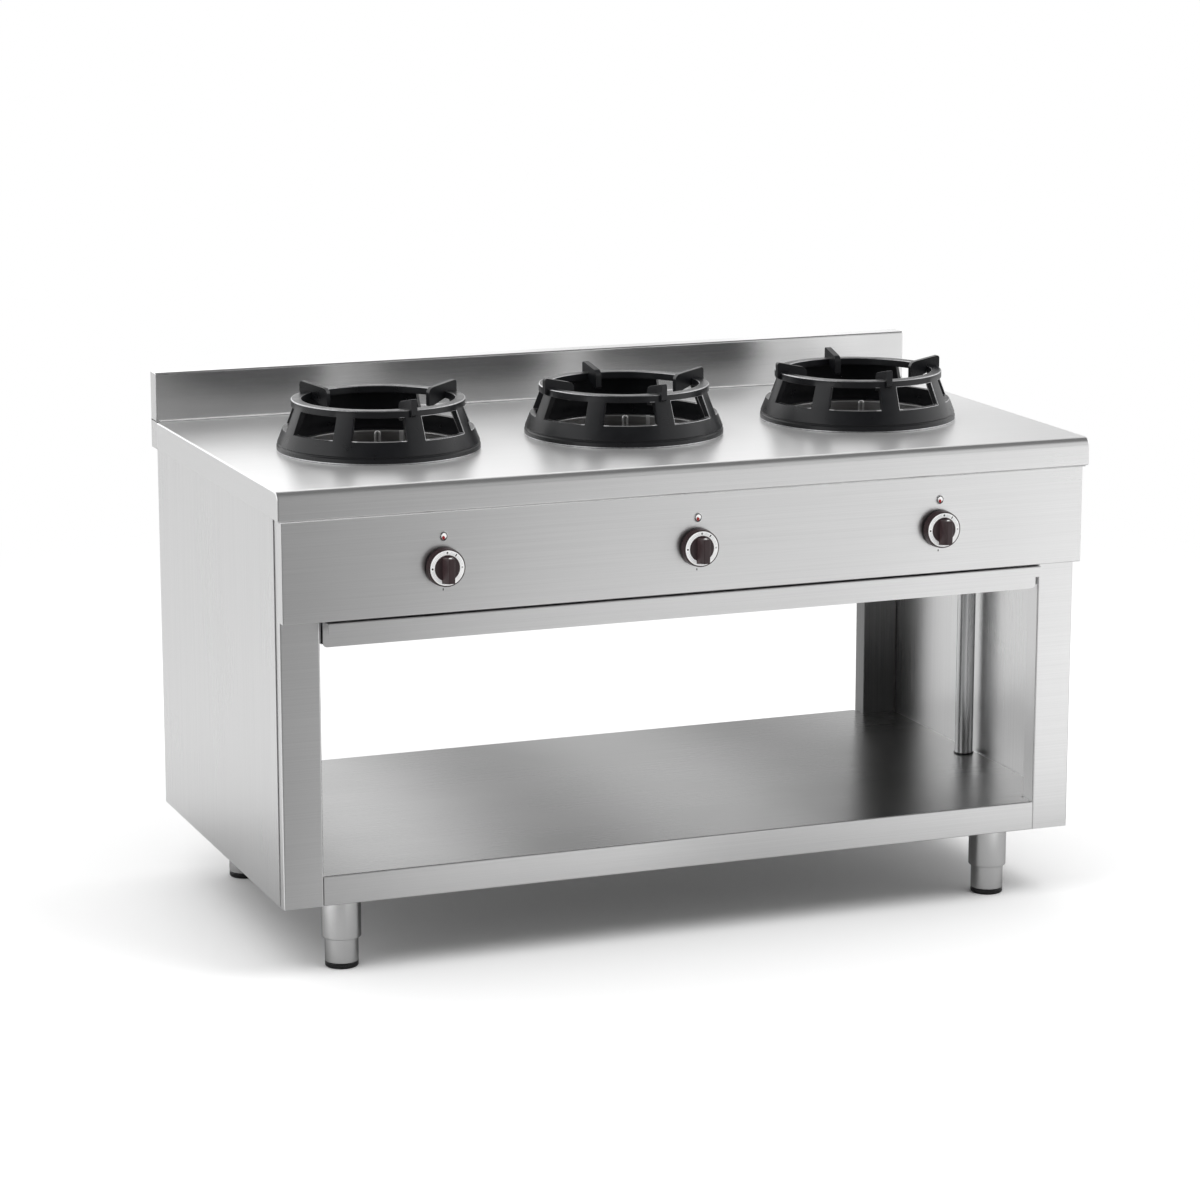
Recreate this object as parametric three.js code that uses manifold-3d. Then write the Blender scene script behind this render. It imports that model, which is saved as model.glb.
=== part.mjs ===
// A free-standing gas wok range: three cast pan supports on a stainless worktop with an upstand,
// a control panel with three knobs, a full-width drip tray below it, and an open bay with a bottom
// shelf on four levelling feet.
// Millimetres, +X to the right, +Y to the back, +Z up. The origin lies on the floor, below the
// centre of the bounding box.
import * as THREE from 'three';
import { mergeVertices } from 'three/addons/utils/BufferGeometryUtils.js';
import Module from 'manifold-3d';

const wasm = await Module();
wasm.setup();

// ---------------------------------------------------------------- driving dimensions

// Overall
const rangeWidth = 1500;
const rangeDepth = 800; // worktop and upstand, without the knobs
const worktopHeight = 850; // cooking surface above the floor
const sheet = 1.5; // stainless sheet gauge
const seat = 0.3; // gap between two pieces that touch
const overcut = 1; // how far a cutting tool passes the face that it cuts

// Worktop and upstand
const bandHeight = 50; // turned-down edge all round
const noseRadius = 15; // rounded front edge
const upstandHeight = 90; // above the worktop
const upstandDepth = 36;
const upstandRadius = 4;

// Cabinet
const bodyInset = 8; // panels behind the worktop's edge
const panelDrop = 225; // control panel's lower edge below the worktop's surface
const rearPanelHeight = 270; // down from the worktop's surface
const postSetback = 32; // front posts behind the worktop's edge
const postWidth = 70;
const postDepth = 40;
const postRadius = 3;
const postReveal = 22; // strip of post left bare in front of the side panel
const bodyBottom = 130; // above the floor
const shelfHeight = 52;
const shelfHem = 10;
const stiffenerLength = 1160;
const stiffenerWidth = 60;
const stiffenerHeight = 36;
const stiffenerGauge = 3;

// Drip tray and its runners
const trayGap = 3; // shadow gap below the control panel
const trayFrontHeight = 45;
const trayCorner = 7; // front plate's rounded lower corners
const trayLipHeight = 19;
const trayLipInset = 3; // lip's ends inside the front plate's
const trayLipCorner = 3;
const trayDepth = 620;
const trayBodyHeight = 36;
const trayClearance = 4.5; // to the posts and the runners, each side
const runnerLedge = 22;

// Legs and feet
const legFromSide = 124; // leg centre inside the body's side
const legFromFront = 105;
const legFromBack = 100;
const sleeveRadius = 34;
const sleeveBottom = 52; // above the floor
const legPlateMargin = 8; // plate past the sleeve, each side
const legPlateThickness = 3;
const footRadius = 29;
const footWall = 3;
const footFloor = 4;
const footInSleeve = 73;
const padHeight = 9;
const padChamfer = 2;

// Burners, one wok ring each
const burnerSpacing = 460;
const burnerFromFront = 352;
const panHoleRadius = 138;
const panRimOverlap = 12; // rim past the edge of the hole
const panRimHeight = 10;
const panRoll = 4; // slope of the rim's outer edge
const panDepth = 56;
const panFloorInset = 16.5; // sloping foot of the pan's wall
const panWallClearance = 1.5; // to the hole in the worktop
const panOpeningClearance = 5; // round the pilot's bracket

// Cast wok ring
const ringPanGap = 17; // foot's inner edge to the pan's rim
const ringTaper = 26; // foot radius less rim radius
const ringBandWidth = 18; // flat top of the rim
const ringHeight = 90;
const ringWall = 11;
const ringFootHeight = 9;
const ringGroove = 2.5;
const ringFlangeStep = 1; // foot flange proud of the cone
const ringRimHeight = 13;
const windowWidth = 92;
const windowSill = 38;
const windowPitch = 45; // degrees
const windowsPerSide = 3;
const ringTurns = { left: 5, middle: 5, right: -4 }; // degrees, as they stand on the worktop
const lugPlaces = { // degrees round from the front lug
  left: [0, 98, 216],
  middle: [0, 90, 180, 270],
  right: [0, 90, 180, 270],
};
const lugThickness = 11;
const lugOverhang = 6; // outer end past the rim
const lugRise = 19; // outer end above the rim
const lugTongue = 10; // outer end down over the rim
const lugReach = 33; // inner end inside the rim's hole
const lugInnerRise = 7;
const lugDrop = 28; // inner end below the rim
const lugCorner = 4;
const lugNose = 10; // rounded top of the inner end
const lugBite = 1; // how far a lug is cast into the rim

// Burner head, its feed pipe and the pilot
const headRadius = 52;
const headTop = 2; // above the worktop
const headHeight = 46;
const headWall = 6;
const headChamfer = 8;
const headJetRadius = 12;
const neckRadius = 18;
const neckHeight = 18;
const feedRadius = 10;
const feedBore = 7;
const feedBend = 40;
const pilotFromHead = 15; // pilot's line in front of the burner head
const pilotPlateWidth = 60;
const pilotPlateDepth = 12;
const pilotPlateThickness = 2;
const pilotPlateDrop = 18; // below the worktop
const pilotTabWidth = 30;
const pilotTabHeight = 14;
const hairpinInset = 2; // left leg from the plate's left end
const hairpinWidth = 8;
const hairpinTop = 42; // above the worktop
const hairpinRadius = 1.8;
const electrodeInset = 7; // from the plate's right end
const electrodeWidth = 7;
const electrodeThickness = 2;
const electrodeTop = 40;

// Gas line
const pipeRadius = 17;
const pipeBore = 13.5; // radius
const manifoldGap = 8; // manifold's top below the valves' barrels
const manifoldEnd = 60; // past the outer valves
const plugThickness = 3;
const spigotRadius = 9;
const spigotHeight = 5;
const supplySideGap = 7.5; // pipe to the side panel
const supplyFromFront = 400;
const supplyBelowShelf = 40; // lower end below the shelf's surface
const supplyBend = 34;
const supplyHoleClearance = 1;

// Valves, spindles, knobs and indicators
const knobDrop = 145; // axis below the worktop's surface
const indicatorAboveKnob = 51;
const valveRadius = 15;
const valveFront = 26; // behind the panel's face
const valveLength = 84;
const valveInlet = 87; // inlet's centre behind the panel's face
const nozzleRadius = 8;
const nozzleLength = 8;
const spindleRadius = 4;
const spindleFlat = 2.8; // flat from the axis
const spindleInValve = 10;
const spindleHoleClearance = 2;
const knobGap = 4.5; // skirt to panel, with the push travel
const knobTravel = 4;
const knobBackRadius = 33.5;
const knobDraft = 1.5;
const knobSkirt = 14;
const knobWall = 2.5;
const knobEdge = 1; // chamfer
const knobBossRadius = 9;
const dialInset = 2; // ring inside the skirt's front edge
const dialWidth = 8;
const dialThickness = 1;
const hubRise = 2;
const gripWidth = 19;
const gripTopWidth = 11;
const gripRise = 22;
const gripInset = 0.5; // upper corners inside the hub's edge
const gripDown = 26; // lower end from the axis, over the dial
const indicatorRadius = 8.2;
const indicatorEdge = 1.8;
const indicatorRise = 4.5;
const indicatorStemRadius = 5;
const indicatorStemLength = 16;

// Facets
const fineSides = 32;
const roundSides = 24;
const smallSides = 12;
const wireSides = 6;
const bendSteps = 4;
const arcSteps = 3;
const mergeDistance = 1e-3;

// ---------------------------------------------------------------- places worked out from them

const knobDepth = knobSkirt + hubRise + gripRise;
const knobReach = knobGap + knobDepth - bodyInset; // in front of the worktop's edge
const frontY = (knobReach - rangeDepth) / 2;
const backY = frontY + rangeDepth;
const halfWidth = rangeWidth / 2;
const bodyHalf = halfWidth - bodyInset; // outer face of the side panels
const bodyBack = backY - bodyInset; // outer face of the rear panel
const underWorktop = worktopHeight - sheet - seat;
const worktopReturn = bodyInset - seat; // worktop's bottom return, up to the panels
const panelFace = frontY + bodyInset; // front of the control panel
const panelTop = worktopHeight - noseRadius; // clear of the rounded edge
const panelBottom = worktopHeight - panelDrop;
const postFront = frontY + postSetback;
const postOuter = bodyHalf - sheet - seat;
const postInner = postOuter - postWidth;
const rearPostBack = bodyBack - sheet - seat;
const shelfTop = bodyBottom + shelfHeight;
const underShelf = shelfTop - sheet - seat;
const trayTop = panelBottom - trayGap;
const trayBodyBottom = trayTop - trayBodyHeight - sheet;
const trayBodyHalf = postInner - seat - sheet - trayClearance;
const knobHeight = worktopHeight - knobDrop;
const indicatorHeight = knobHeight + indicatorAboveKnob;
const valveBack = valveFront + valveLength;
const manifoldY = panelFace + valveInlet;
const manifoldZ = knobHeight - valveRadius - manifoldGap - pipeRadius;
const manifoldTop = manifoldZ + pipeRadius;
const supplyX = bodyHalf - sheet - supplySideGap - pipeRadius;
const supplyY = frontY + supplyFromFront;
const manifoldRight = postInner - pipeRadius - supplyBend;
const burnerY = frontY + burnerFromFront;
const headBottom = headTop - headHeight;
const neckBottom = headBottom - neckHeight;
const pilotFromCentre = headRadius + pilotFromHead;
const pilotFront = pilotFromCentre + pilotPlateDepth / 2;
const panRimRadius = panHoleRadius + panRimOverlap;
const panOpeningRadius = Math.hypot(pilotFront, pilotPlateWidth / 2) + panOpeningClearance;
const ringBaseRadius = panRimRadius + ringPanGap + ringWall;
const ringTopRadius = ringBaseRadius - ringTaper;
const ringHoleRadius = ringTopRadius - ringBandWidth;
const knobFrontRadius = knobBackRadius - knobDraft;
const dialOuterRadius = knobFrontRadius - dialInset;
const hubRadius = dialOuterRadius - dialWidth;
const knobFace = knobGap + knobSkirt; // knob's front edge from the panel
const dialFloor = knobFace - dialThickness;
const knobBoreDepth = knobSkirt + hubRise;
const sides = { left: -1, right: 1 };
const burners = { left: -burnerSpacing, middle: 0, right: burnerSpacing };

// ---------------------------------------------------------------- materials

const steel = (color, roughness) => new THREE.MeshStandardMaterial({ color, roughness, metalness: 0.95 });
const dull = (color, roughness) => new THREE.MeshStandardMaterial({ color, roughness, metalness: 0 });
const brushedSteel = steel(0xb9babb, 0.32);
const panSteel = steel(0x8f9092, 0.35);
const zincSteel = steel(0x9a9c9e, 0.5);
const castIron = new THREE.MeshStandardMaterial({ color: 0x17181a, roughness: 0.55, metalness: 0.4 });
const burnerIron = new THREE.MeshStandardMaterial({ color: 0x2a2826, roughness: 0.8, metalness: 0.4 });
const brass = steel(0xb08d4a, 0.35);
const chrome = steel(0xd8d9da, 0.12);
const knobPlastic = dull(0x1f1718, 0.35);
const dialWhite = dull(0xe9e9e7, 0.4);
const lensWhite = dull(0xeceae6, 0.2);
const padRubber = dull(0x121213, 0.7);

// ---------------------------------------------------------------- solids

// A closed geometry becomes a solid once its shared corners are one.
function solidOf(geometry) {
  const bare = geometry.clone();
  for (const name of Object.keys(bare.attributes)) {
    if (name !== 'position') bare.deleteAttribute(name);
  }
  const merged = mergeVertices(bare, mergeDistance);
  const corners = merged.index.array;
  const kept = [];
  for (let i = 0; i < corners.length; i += 3) {
    const [a, b, c] = corners.slice(i, i + 3);
    if (a !== b && b !== c && c !== a) kept.push(a, b, c);
  }
  return new wasm.Manifold(new wasm.Mesh({
    numProp: 3,
    vertProperties: new Float32Array(merged.attributes.position.array),
    triVerts: new Uint32Array(kept),
  }));
}

function geometryOf(solid) {
  const { vertProperties, triVerts } = solid.getMesh();
  const geometry = new THREE.BufferGeometry();
  geometry.setAttribute('position', new THREE.BufferAttribute(vertProperties, 3));
  geometry.setIndex(new THREE.BufferAttribute(triVerts, 1));
  geometry.computeVertexNormals();
  return geometry;
}

const joined = (...solids) => solids.reduce((whole, solid) => whole.add(solid));
const cut = (solid, ...tools) => tools.reduce((whole, tool) => whole.subtract(tool), solid);

function block([x0, x1], [y0, y1], [z0, z1]) {
  const geometry = new THREE.BoxGeometry(x1 - x0, y1 - y0, z1 - z0);
  geometry.translate((x0 + x1) / 2, (y0 + y1) / 2, (z0 + z1) / 2);
  return solidOf(geometry);
}

// A stretch along X between two distances from the middle, on the left or on the right.
const sideSpan = (side, near, far) => (side > 0 ? [near, far] : [-far, -near]);

function rodZ(radius, [z0, z1], [x, y] = [0, 0], count = roundSides) {
  const geometry = new THREE.CylinderGeometry(radius, radius, z1 - z0, count);
  geometry.rotateX(Math.PI / 2);
  geometry.translate(x, y, (z0 + z1) / 2);
  return solidOf(geometry);
}

function rodY(radius, [y0, y1], [x, z] = [0, 0], count = smallSides) {
  const geometry = new THREE.CylinderGeometry(radius, radius, y1 - y0, count);
  geometry.translate(x, (y0 + y1) / 2, z);
  return solidOf(geometry);
}

// An outline turned about the Z axis. Its points are [radius, height], anticlockwise.
function turned(outline, count = roundSides, closed = true) {
  const points = outline.map(([r, z]) => new THREE.Vector2(r, z));
  if (closed) points.push(points[0].clone());
  const geometry = new THREE.LatheGeometry(points, count);
  geometry.rotateX(Math.PI / 2);
  return solidOf(geometry);
}

// The same, turned about the Y axis, with the heights counted towards the front.
function turnedForward(outline, count = roundSides, closed = true) {
  return turned(outline, count, closed).rotate([90, 0, 0]);
}

const shapeOf = (points) => new THREE.Shape(points.map(([a, b]) => new THREE.Vector2(a, b)));

function flatPlate(outline, [z0, z1], holes = []) {
  const shape = shapeOf(outline);
  shape.holes = holes.map(shapeOf);
  const geometry = new THREE.ExtrudeGeometry(shape, { depth: z1 - z0, bevelEnabled: false });
  geometry.translate(0, 0, z0);
  return solidOf(geometry);
}

// An outline of [y, z] points drawn out along X.
function alongX(outline, [x0, x1]) {
  const geometry = new THREE.ExtrudeGeometry(shapeOf(outline), { depth: x1 - x0, bevelEnabled: false });
  geometry.applyMatrix4(new THREE.Matrix4().set(0, 0, 1, x0, 1, 0, 0, 0, 0, 1, 0, 0, 0, 0, 0, 1));
  return solidOf(geometry);
}

// An outline of [x, z] points drawn out along Y.
function alongY(outline, [y0, y1]) {
  const geometry = new THREE.ExtrudeGeometry(shapeOf(outline), { depth: y1 - y0, bevelEnabled: false });
  geometry.rotateX(Math.PI / 2);
  geometry.translate(0, y1, 0);
  return solidOf(geometry);
}

function arcPoints([a, b], radius, fromDegrees, toDegrees, steps = arcSteps) {
  return Array.from({ length: steps + 1 }, (_, i) => {
    const angle = THREE.MathUtils.degToRad(fromDegrees + ((toDegrees - fromDegrees) * i) / steps);
    return [a + radius * Math.cos(angle), b + radius * Math.sin(angle)];
  });
}

function roundedRectangle([x0, x1], [y0, y1], radius) {
  return [
    ...arcPoints([x1 - radius, y0 + radius], radius, -90, 0),
    ...arcPoints([x1 - radius, y1 - radius], radius, 0, 90),
    ...arcPoints([x0 + radius, y1 - radius], radius, 90, 180),
    ...arcPoints([x0 + radius, y0 + radius], radius, 180, 270),
  ];
}

// A route of straight runs with a round bend at each inner corner.
class BentRoute extends THREE.Curve {
  constructor(corners, bend) {
    super();
    this.stations = [];
    const points = corners.map((corner) => new THREE.Vector3(...corner));
    this.addStation(points[0], points[1].clone().sub(points[0]));
    for (let i = 1; i < points.length - 1; i += 1) {
      this.addBend(points[i - 1], points[i], points[i + 1], bend);
    }
    const last = points.length - 1;
    this.addStation(points[last], points[last].clone().sub(points[last - 1]));
  }

  // Two bends may meet without a straight run between them.
  addStation(point, direction) {
    const last = this.stations.at(-1);
    if (last && last.point.distanceTo(point) < mergeDistance) return;
    this.stations.push({ point, tangent: direction.clone().normalize() });
  }

  addBend(before, corner, after, bend) {
    const into = corner.clone().sub(before).normalize();
    const away = after.clone().sub(corner).normalize();
    const turn = into.angleTo(away);
    const setback = bend * Math.tan(turn / 2);
    const start = corner.clone().addScaledVector(into, -setback);
    const inward = away.clone().addScaledVector(into, -away.dot(into)).normalize();
    for (let step = 0; step <= bendSteps; step += 1) {
      const angle = (turn * step) / bendSteps;
      const point = start.clone()
        .addScaledVector(into, bend * Math.sin(angle))
        .addScaledVector(inward, bend * (1 - Math.cos(angle)));
      const direction = into.clone().multiplyScalar(Math.cos(angle)).addScaledVector(inward, Math.sin(angle));
      this.addStation(point, direction);
    }
  }

  stationAt(t) {
    return this.stations[Math.round(t * (this.stations.length - 1))];
  }

  getPoint(t) {
    return this.stationAt(t).point.clone();
  }

  getPointAt(t) {
    return this.getPoint(t);
  }

  getTangentAt(t) {
    return this.stationAt(t).tangent.clone();
  }

  getSpacedPoints() {
    return this.stations.map((station) => station.point.clone());
  }
}

function bentTube(corners, bend, outer, bore, count = smallSides) {
  const route = new BentRoute(corners, bend);
  const circle = (radius) => arcPoints([0, 0], radius, 0, 360 - 360 / count, count - 1);
  const shape = shapeOf(circle(outer));
  if (bore) shape.holes = [shapeOf(circle(bore))];
  const options = { steps: route.stations.length - 1, extrudePath: route, bevelEnabled: false };
  return solidOf(new THREE.ExtrudeGeometry(shape, options));
}

// ---------------------------------------------------------------- assembly helper

const range = new THREE.Group();

function add(name, solid, material, group = range) {
  const mesh = new THREE.Mesh(geometryOf(solid), material);
  mesh.name = name;
  group.add(mesh);
}

function groupAt(x, y, z) {
  const group = new THREE.Group();
  group.position.set(x, y, z);
  range.add(group);
  return group;
}

// ---------------------------------------------------------------- worktop and upstand

// Side outline of the worktop with its rounded front edge, drawn in by an inset.
function worktopOutline(inset) {
  const low = worktopHeight - bandHeight + inset;
  const high = worktopHeight - inset;
  const radius = noseRadius - inset;
  return [
    [backY - inset, low],
    [backY - inset, high],
    ...arcPoints([frontY + noseRadius, worktopHeight - noseRadius], radius, 90, 180),
    [frontY + inset, low],
  ];
}

function worktop() {
  const low = worktopHeight - bandHeight;
  const skin = alongX(worktopOutline(0), [-halfWidth, halfWidth]);
  const inside = alongX(worktopOutline(sheet), [sheet - halfWidth, halfWidth - sheet]);
  const mouth = block(
    [worktopReturn - halfWidth, halfWidth - worktopReturn],
    [frontY + worktopReturn, backY - worktopReturn],
    [low - overcut, low + 2 * sheet],
  );
  const holes = Object.values(burners).map((x) => (
    rodZ(panHoleRadius, [worktopHeight - 2 * sheet, worktopHeight + overcut], [x, burnerY], fineSides)));
  const notches = Object.values(sides).map((side) => block(
    sideSpan(side, halfWidth - sheet - seat, halfWidth + overcut),
    [backY - upstandDepth - seat, backY + overcut],
    [low - overcut, worktopHeight + overcut],
  ));
  return cut(skin, inside, mouth, ...holes, ...notches);
}

// A folded channel, open below, with an end cap down each side of the worktop.
function upstand() {
  const low = worktopHeight + seat;
  const top = worktopHeight + upstandHeight;
  const front = backY - upstandDepth;
  const outline = (inset, bottom) => [
    [backY - inset, bottom],
    [backY - inset, top - inset],
    ...arcPoints([front + upstandRadius, top - upstandRadius], upstandRadius - inset, 90, 180),
    [front + inset, bottom],
  ];
  const skin = alongX(outline(0, low), [-halfWidth, halfWidth]);
  const inside = alongX(outline(sheet, low - overcut), [sheet - halfWidth, halfWidth - sheet]);
  const endCaps = Object.values(sides).map((side) => block(
    sideSpan(side, halfWidth - sheet, halfWidth),
    [front, backY],
    [worktopHeight - bandHeight, top - upstandRadius],
  ));
  return joined(cut(skin, inside), ...endCaps);
}

add('worktop', worktop(), brushedSteel);
add('upstand', upstand(), brushedSteel);

// ---------------------------------------------------------------- cabinet

function controlPanel() {
  const back = postFront - seat;
  const box = block([-bodyHalf, bodyHalf], [panelFace, back], [panelBottom, panelTop]);
  const inside = block(
    [sheet - bodyHalf, bodyHalf - sheet],
    [panelFace + sheet, back + overcut],
    [panelBottom + sheet, panelTop - sheet],
  );
  const through = [panelFace - overcut, panelFace + 2 * sheet];
  const holes = Object.values(burners).flatMap((x) => [
    rodY(spindleRadius + spindleHoleClearance, through, [x, knobHeight]),
    rodY(indicatorStemRadius + seat, through, [x, indicatorHeight]),
  ]);
  return cut(box, inside, ...holes);
}

function post(side, front) {
  const xs = sideSpan(side, postInner, postOuter);
  const outer = roundedRectangle(xs, [front, front + postDepth], postRadius);
  const bore = roundedRectangle(
    [xs[0] + sheet, xs[1] - sheet],
    [front + sheet, front + postDepth - sheet],
    postRadius - sheet,
  );
  return flatPlate(outer, [bodyBottom, underWorktop], [bore]);
}

function sidePanel(side) {
  const xs = sideSpan(side, bodyHalf - sheet, bodyHalf);
  return block(xs, [postFront + postReveal, bodyBack], [bodyBottom, underWorktop]);
}

function rearPanel() {
  const bottom = worktopHeight - rearPanelHeight;
  return block([-postOuter, postOuter], [bodyBack - sheet, bodyBack], [bottom, underWorktop]);
}

// The shelf's outline, notched round the four posts and drawn in by an inset.
function shelfOutline(inset) {
  const wide = postOuter - inset;
  const narrow = postInner - seat - inset;
  const front = postFront + inset;
  const back = rearPostBack - inset;
  const frontNotch = postFront + postDepth + seat + inset;
  const backNotch = rearPostBack - postDepth - seat - inset;
  return [
    [-narrow, front], [narrow, front], [narrow, frontNotch], [wide, frontNotch],
    [wide, backNotch], [narrow, backNotch], [narrow, back], [-narrow, back],
    [-narrow, backNotch], [-wide, backNotch], [-wide, frontNotch], [-narrow, frontNotch],
  ];
}

function bottomShelf() {
  const skin = flatPlate(shelfOutline(0), [bodyBottom, shelfTop]);
  const inside = flatPlate(shelfOutline(sheet), [bodyBottom + sheet, shelfTop - sheet]);
  const mouth = flatPlate(shelfOutline(shelfHem), [bodyBottom - overcut, bodyBottom + 2 * sheet]);
  const pipeHole = rodZ(
    pipeRadius + supplyHoleClearance,
    [shelfTop - 2 * sheet, shelfTop + overcut],
    [supplyX, supplyY],
    smallSides,
  );
  return cut(skin, inside, mouth, pipeHole);
}

function shelfStiffener() {
  const middle = (postFront + rearPostBack) / 2;
  const bottom = underShelf - stiffenerHeight;
  const half = stiffenerWidth / 2;
  const xs = [-stiffenerLength / 2, stiffenerLength / 2];
  const channel = block(xs, [middle - half, middle + half], [bottom, underShelf]);
  const hollow = block(
    [xs[0] - overcut, xs[1] + overcut],
    [middle - half + stiffenerGauge, middle + half - stiffenerGauge],
    [bottom - overcut, underShelf - stiffenerGauge],
  );
  return cut(channel, hollow);
}

add('control_panel', controlPanel(), brushedSteel);
add('rear_panel', rearPanel(), brushedSteel);
for (const [name, side] of Object.entries(sides)) {
  add(`side_panel_${name}`, sidePanel(side), brushedSteel);
  add(`post_front_${name}`, post(side, postFront), brushedSteel);
  add(`post_rear_${name}`, post(side, rearPostBack - postDepth), brushedSteel);
}
add('bottom_shelf', bottomShelf(), brushedSteel);
add('shelf_stiffener', shelfStiffener(), zincSteel);

// ---------------------------------------------------------------- drip tray

// A strip of the tray's front between two heights, with its lower corners rounded.
function trayStrip(half, height, corner, ys) {
  const bottom = trayTop - height;
  const outline = [
    [half, trayTop],
    [-half, trayTop],
    ...arcPoints([corner - half, bottom + corner], corner, 180, 270),
    ...arcPoints([half - corner, bottom + corner], corner, 270, 360),
  ];
  return alongY(outline, ys);
}

function dripTray() {
  const plateHalf = postInner - trayClearance;
  const lipHalf = plateHalf - trayLipInset;
  const back = postFront + trayDepth;
  const plate = trayStrip(plateHalf, trayFrontHeight, trayCorner, [postFront, postFront + sheet]);
  const body = block([-trayBodyHalf, trayBodyHalf], [postFront, back], [trayBodyBottom, trayTop - sheet]);
  const hollow = block(
    [sheet - trayBodyHalf, trayBodyHalf - sheet],
    [postFront + sheet, back - sheet],
    [trayBodyBottom + sheet, trayTop + overcut],
  );
  const ledge = block([-lipHalf, lipHalf], [panelFace, postFront + sheet], [trayTop - sheet, trayTop]);
  const lip = trayStrip(lipHalf, trayLipHeight, trayLipCorner, [panelFace, panelFace + sheet]);
  return joined(cut(joined(plate, body), hollow), ledge, lip);
}

// An angle on the inside of the posts, with a ledge below the tray.
function trayRunner(side) {
  const outer = postInner - seat;
  const ledgeTop = trayBodyBottom - seat;
  const outline = [
    [outer - runnerLedge, ledgeTop - sheet],
    [outer, ledgeTop - sheet],
    [outer, trayTop],
    [outer - sheet, trayTop],
    [outer - sheet, ledgeTop],
    [outer - runnerLedge, ledgeTop],
  ];
  return alongY(outline.map(([x, z]) => [side * x, z]), [postFront + sheet + seat, rearPostBack]);
}

add('drip_tray', dripTray(), brushedSteel);
for (const [name, side] of Object.entries(sides)) {
  add(`tray_runner_${name}`, trayRunner(side), zincSteel);
}

// ---------------------------------------------------------------- legs and feet

function leg() {
  const plateBottom = underShelf - legPlateThickness;
  const half = sleeveRadius + legPlateMargin;
  const sleeve = cut(
    rodZ(sleeveRadius, [sleeveBottom, underShelf]),
    rodZ(footRadius + seat, [sleeveBottom - overcut, plateBottom]),
  );
  return joined(sleeve, block([-half, half], [-half, half], [plateBottom, underShelf]));
}

function foot() {
  const bottom = padHeight + seat;
  const top = sleeveBottom + footInSleeve;
  return cut(
    rodZ(footRadius, [bottom, top]),
    rodZ(footRadius - footWall, [bottom + footFloor, top + overcut]),
  );
}

function footPad() {
  return turned([
    [0, 0],
    [footRadius - padChamfer, 0],
    [footRadius, padChamfer],
    [footRadius, padHeight],
    [0, padHeight],
  ], roundSides, false);
}

const legPlaces = {
  front: frontY + legFromFront,
  rear: backY - legFromBack,
};
for (const [end, y] of Object.entries(legPlaces)) {
  for (const [name, side] of Object.entries(sides)) {
    const group = groupAt(side * (bodyHalf - legFromSide), y, 0);
    add(`leg_${end}_${name}`, leg(), brushedSteel, group);
    add(`foot_${end}_${name}`, foot(), brushedSteel, group);
    add(`foot_pad_${end}_${name}`, footPad(), padRubber, group);
  }
}

// ---------------------------------------------------------------- gas line

// A pipe below the valves with a spigot up to each, plugged at its left end.
function gasManifold() {
  const left = -burnerSpacing - manifoldEnd;
  const corners = [[left, manifoldY, manifoldZ], [manifoldRight, manifoldY, manifoldZ]];
  const pipe = bentTube(corners, supplyBend, pipeRadius, pipeBore);
  const wallMiddle = manifoldZ + (pipeRadius + pipeBore) / 2;
  const spigots = Object.values(burners).map((x) => (
    rodZ(spigotRadius, [wallMiddle, manifoldTop + spigotHeight], [x, manifoldY], smallSides)));
  const plug = rodY(pipeRadius, [-plugThickness, 0])
    .rotate([0, 0, 90])
    .translate([left, manifoldY, manifoldZ]);
  return joined(pipe, plug, ...spigots);
}

function gasSupplyPipe() {
  const corners = [
    [manifoldRight + seat, manifoldY, manifoldZ],
    [supplyX, manifoldY, manifoldZ],
    [supplyX, supplyY, manifoldZ],
    [supplyX, supplyY, shelfTop - supplyBelowShelf],
  ];
  return bentTube(corners, supplyBend, pipeRadius, pipeBore);
}

add('gas_manifold', gasManifold(), zincSteel);
add('gas_supply_pipe', gasSupplyPipe(), zincSteel);

// ---------------------------------------------------------------- burners
// Each is built about its own centre on the worktop's surface.

const rimLow = ringHeight - ringRimHeight;

// A cone with a flat rim, windows on both sides of its front lug and a plain back.
function wokRing(name) {
  const coneFoot = ringFootHeight + 2 * ringGroove;
  const body = turned([
    [ringBaseRadius - ringWall, seat],
    [ringBaseRadius, seat],
    [ringBaseRadius, ringFootHeight],
    [ringBaseRadius - ringGroove, ringFootHeight + ringGroove],
    [ringBaseRadius - ringFlangeStep, coneFoot],
    [ringTopRadius, rimLow],
    [ringTopRadius, ringHeight],
    [ringHoleRadius, ringHeight],
    [ringHoleRadius, rimLow],
    [ringHoleRadius + ringWall / 2, rimLow - ringWall / 2],
    [ringBaseRadius - ringWall, coneFoot],
  ], fineSides);
  const window = block(
    [-windowWidth / 2, windowWidth / 2],
    [-ringBaseRadius - overcut, -ringHoleRadius + ringWall],
    [windowSill, rimLow],
  );
  const windows = Array.from({ length: windowsPerSide }, (_, i) => (i + 1 / 2) * windowPitch)
    .flatMap((angle) => [angle, -angle])
    .map((angle) => window.rotate([0, 0, angle]));
  return joined(cut(body, ...windows), ...lugs(lugPlaces[name])).rotate([0, 0, ringTurns[name]]);
}

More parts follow.
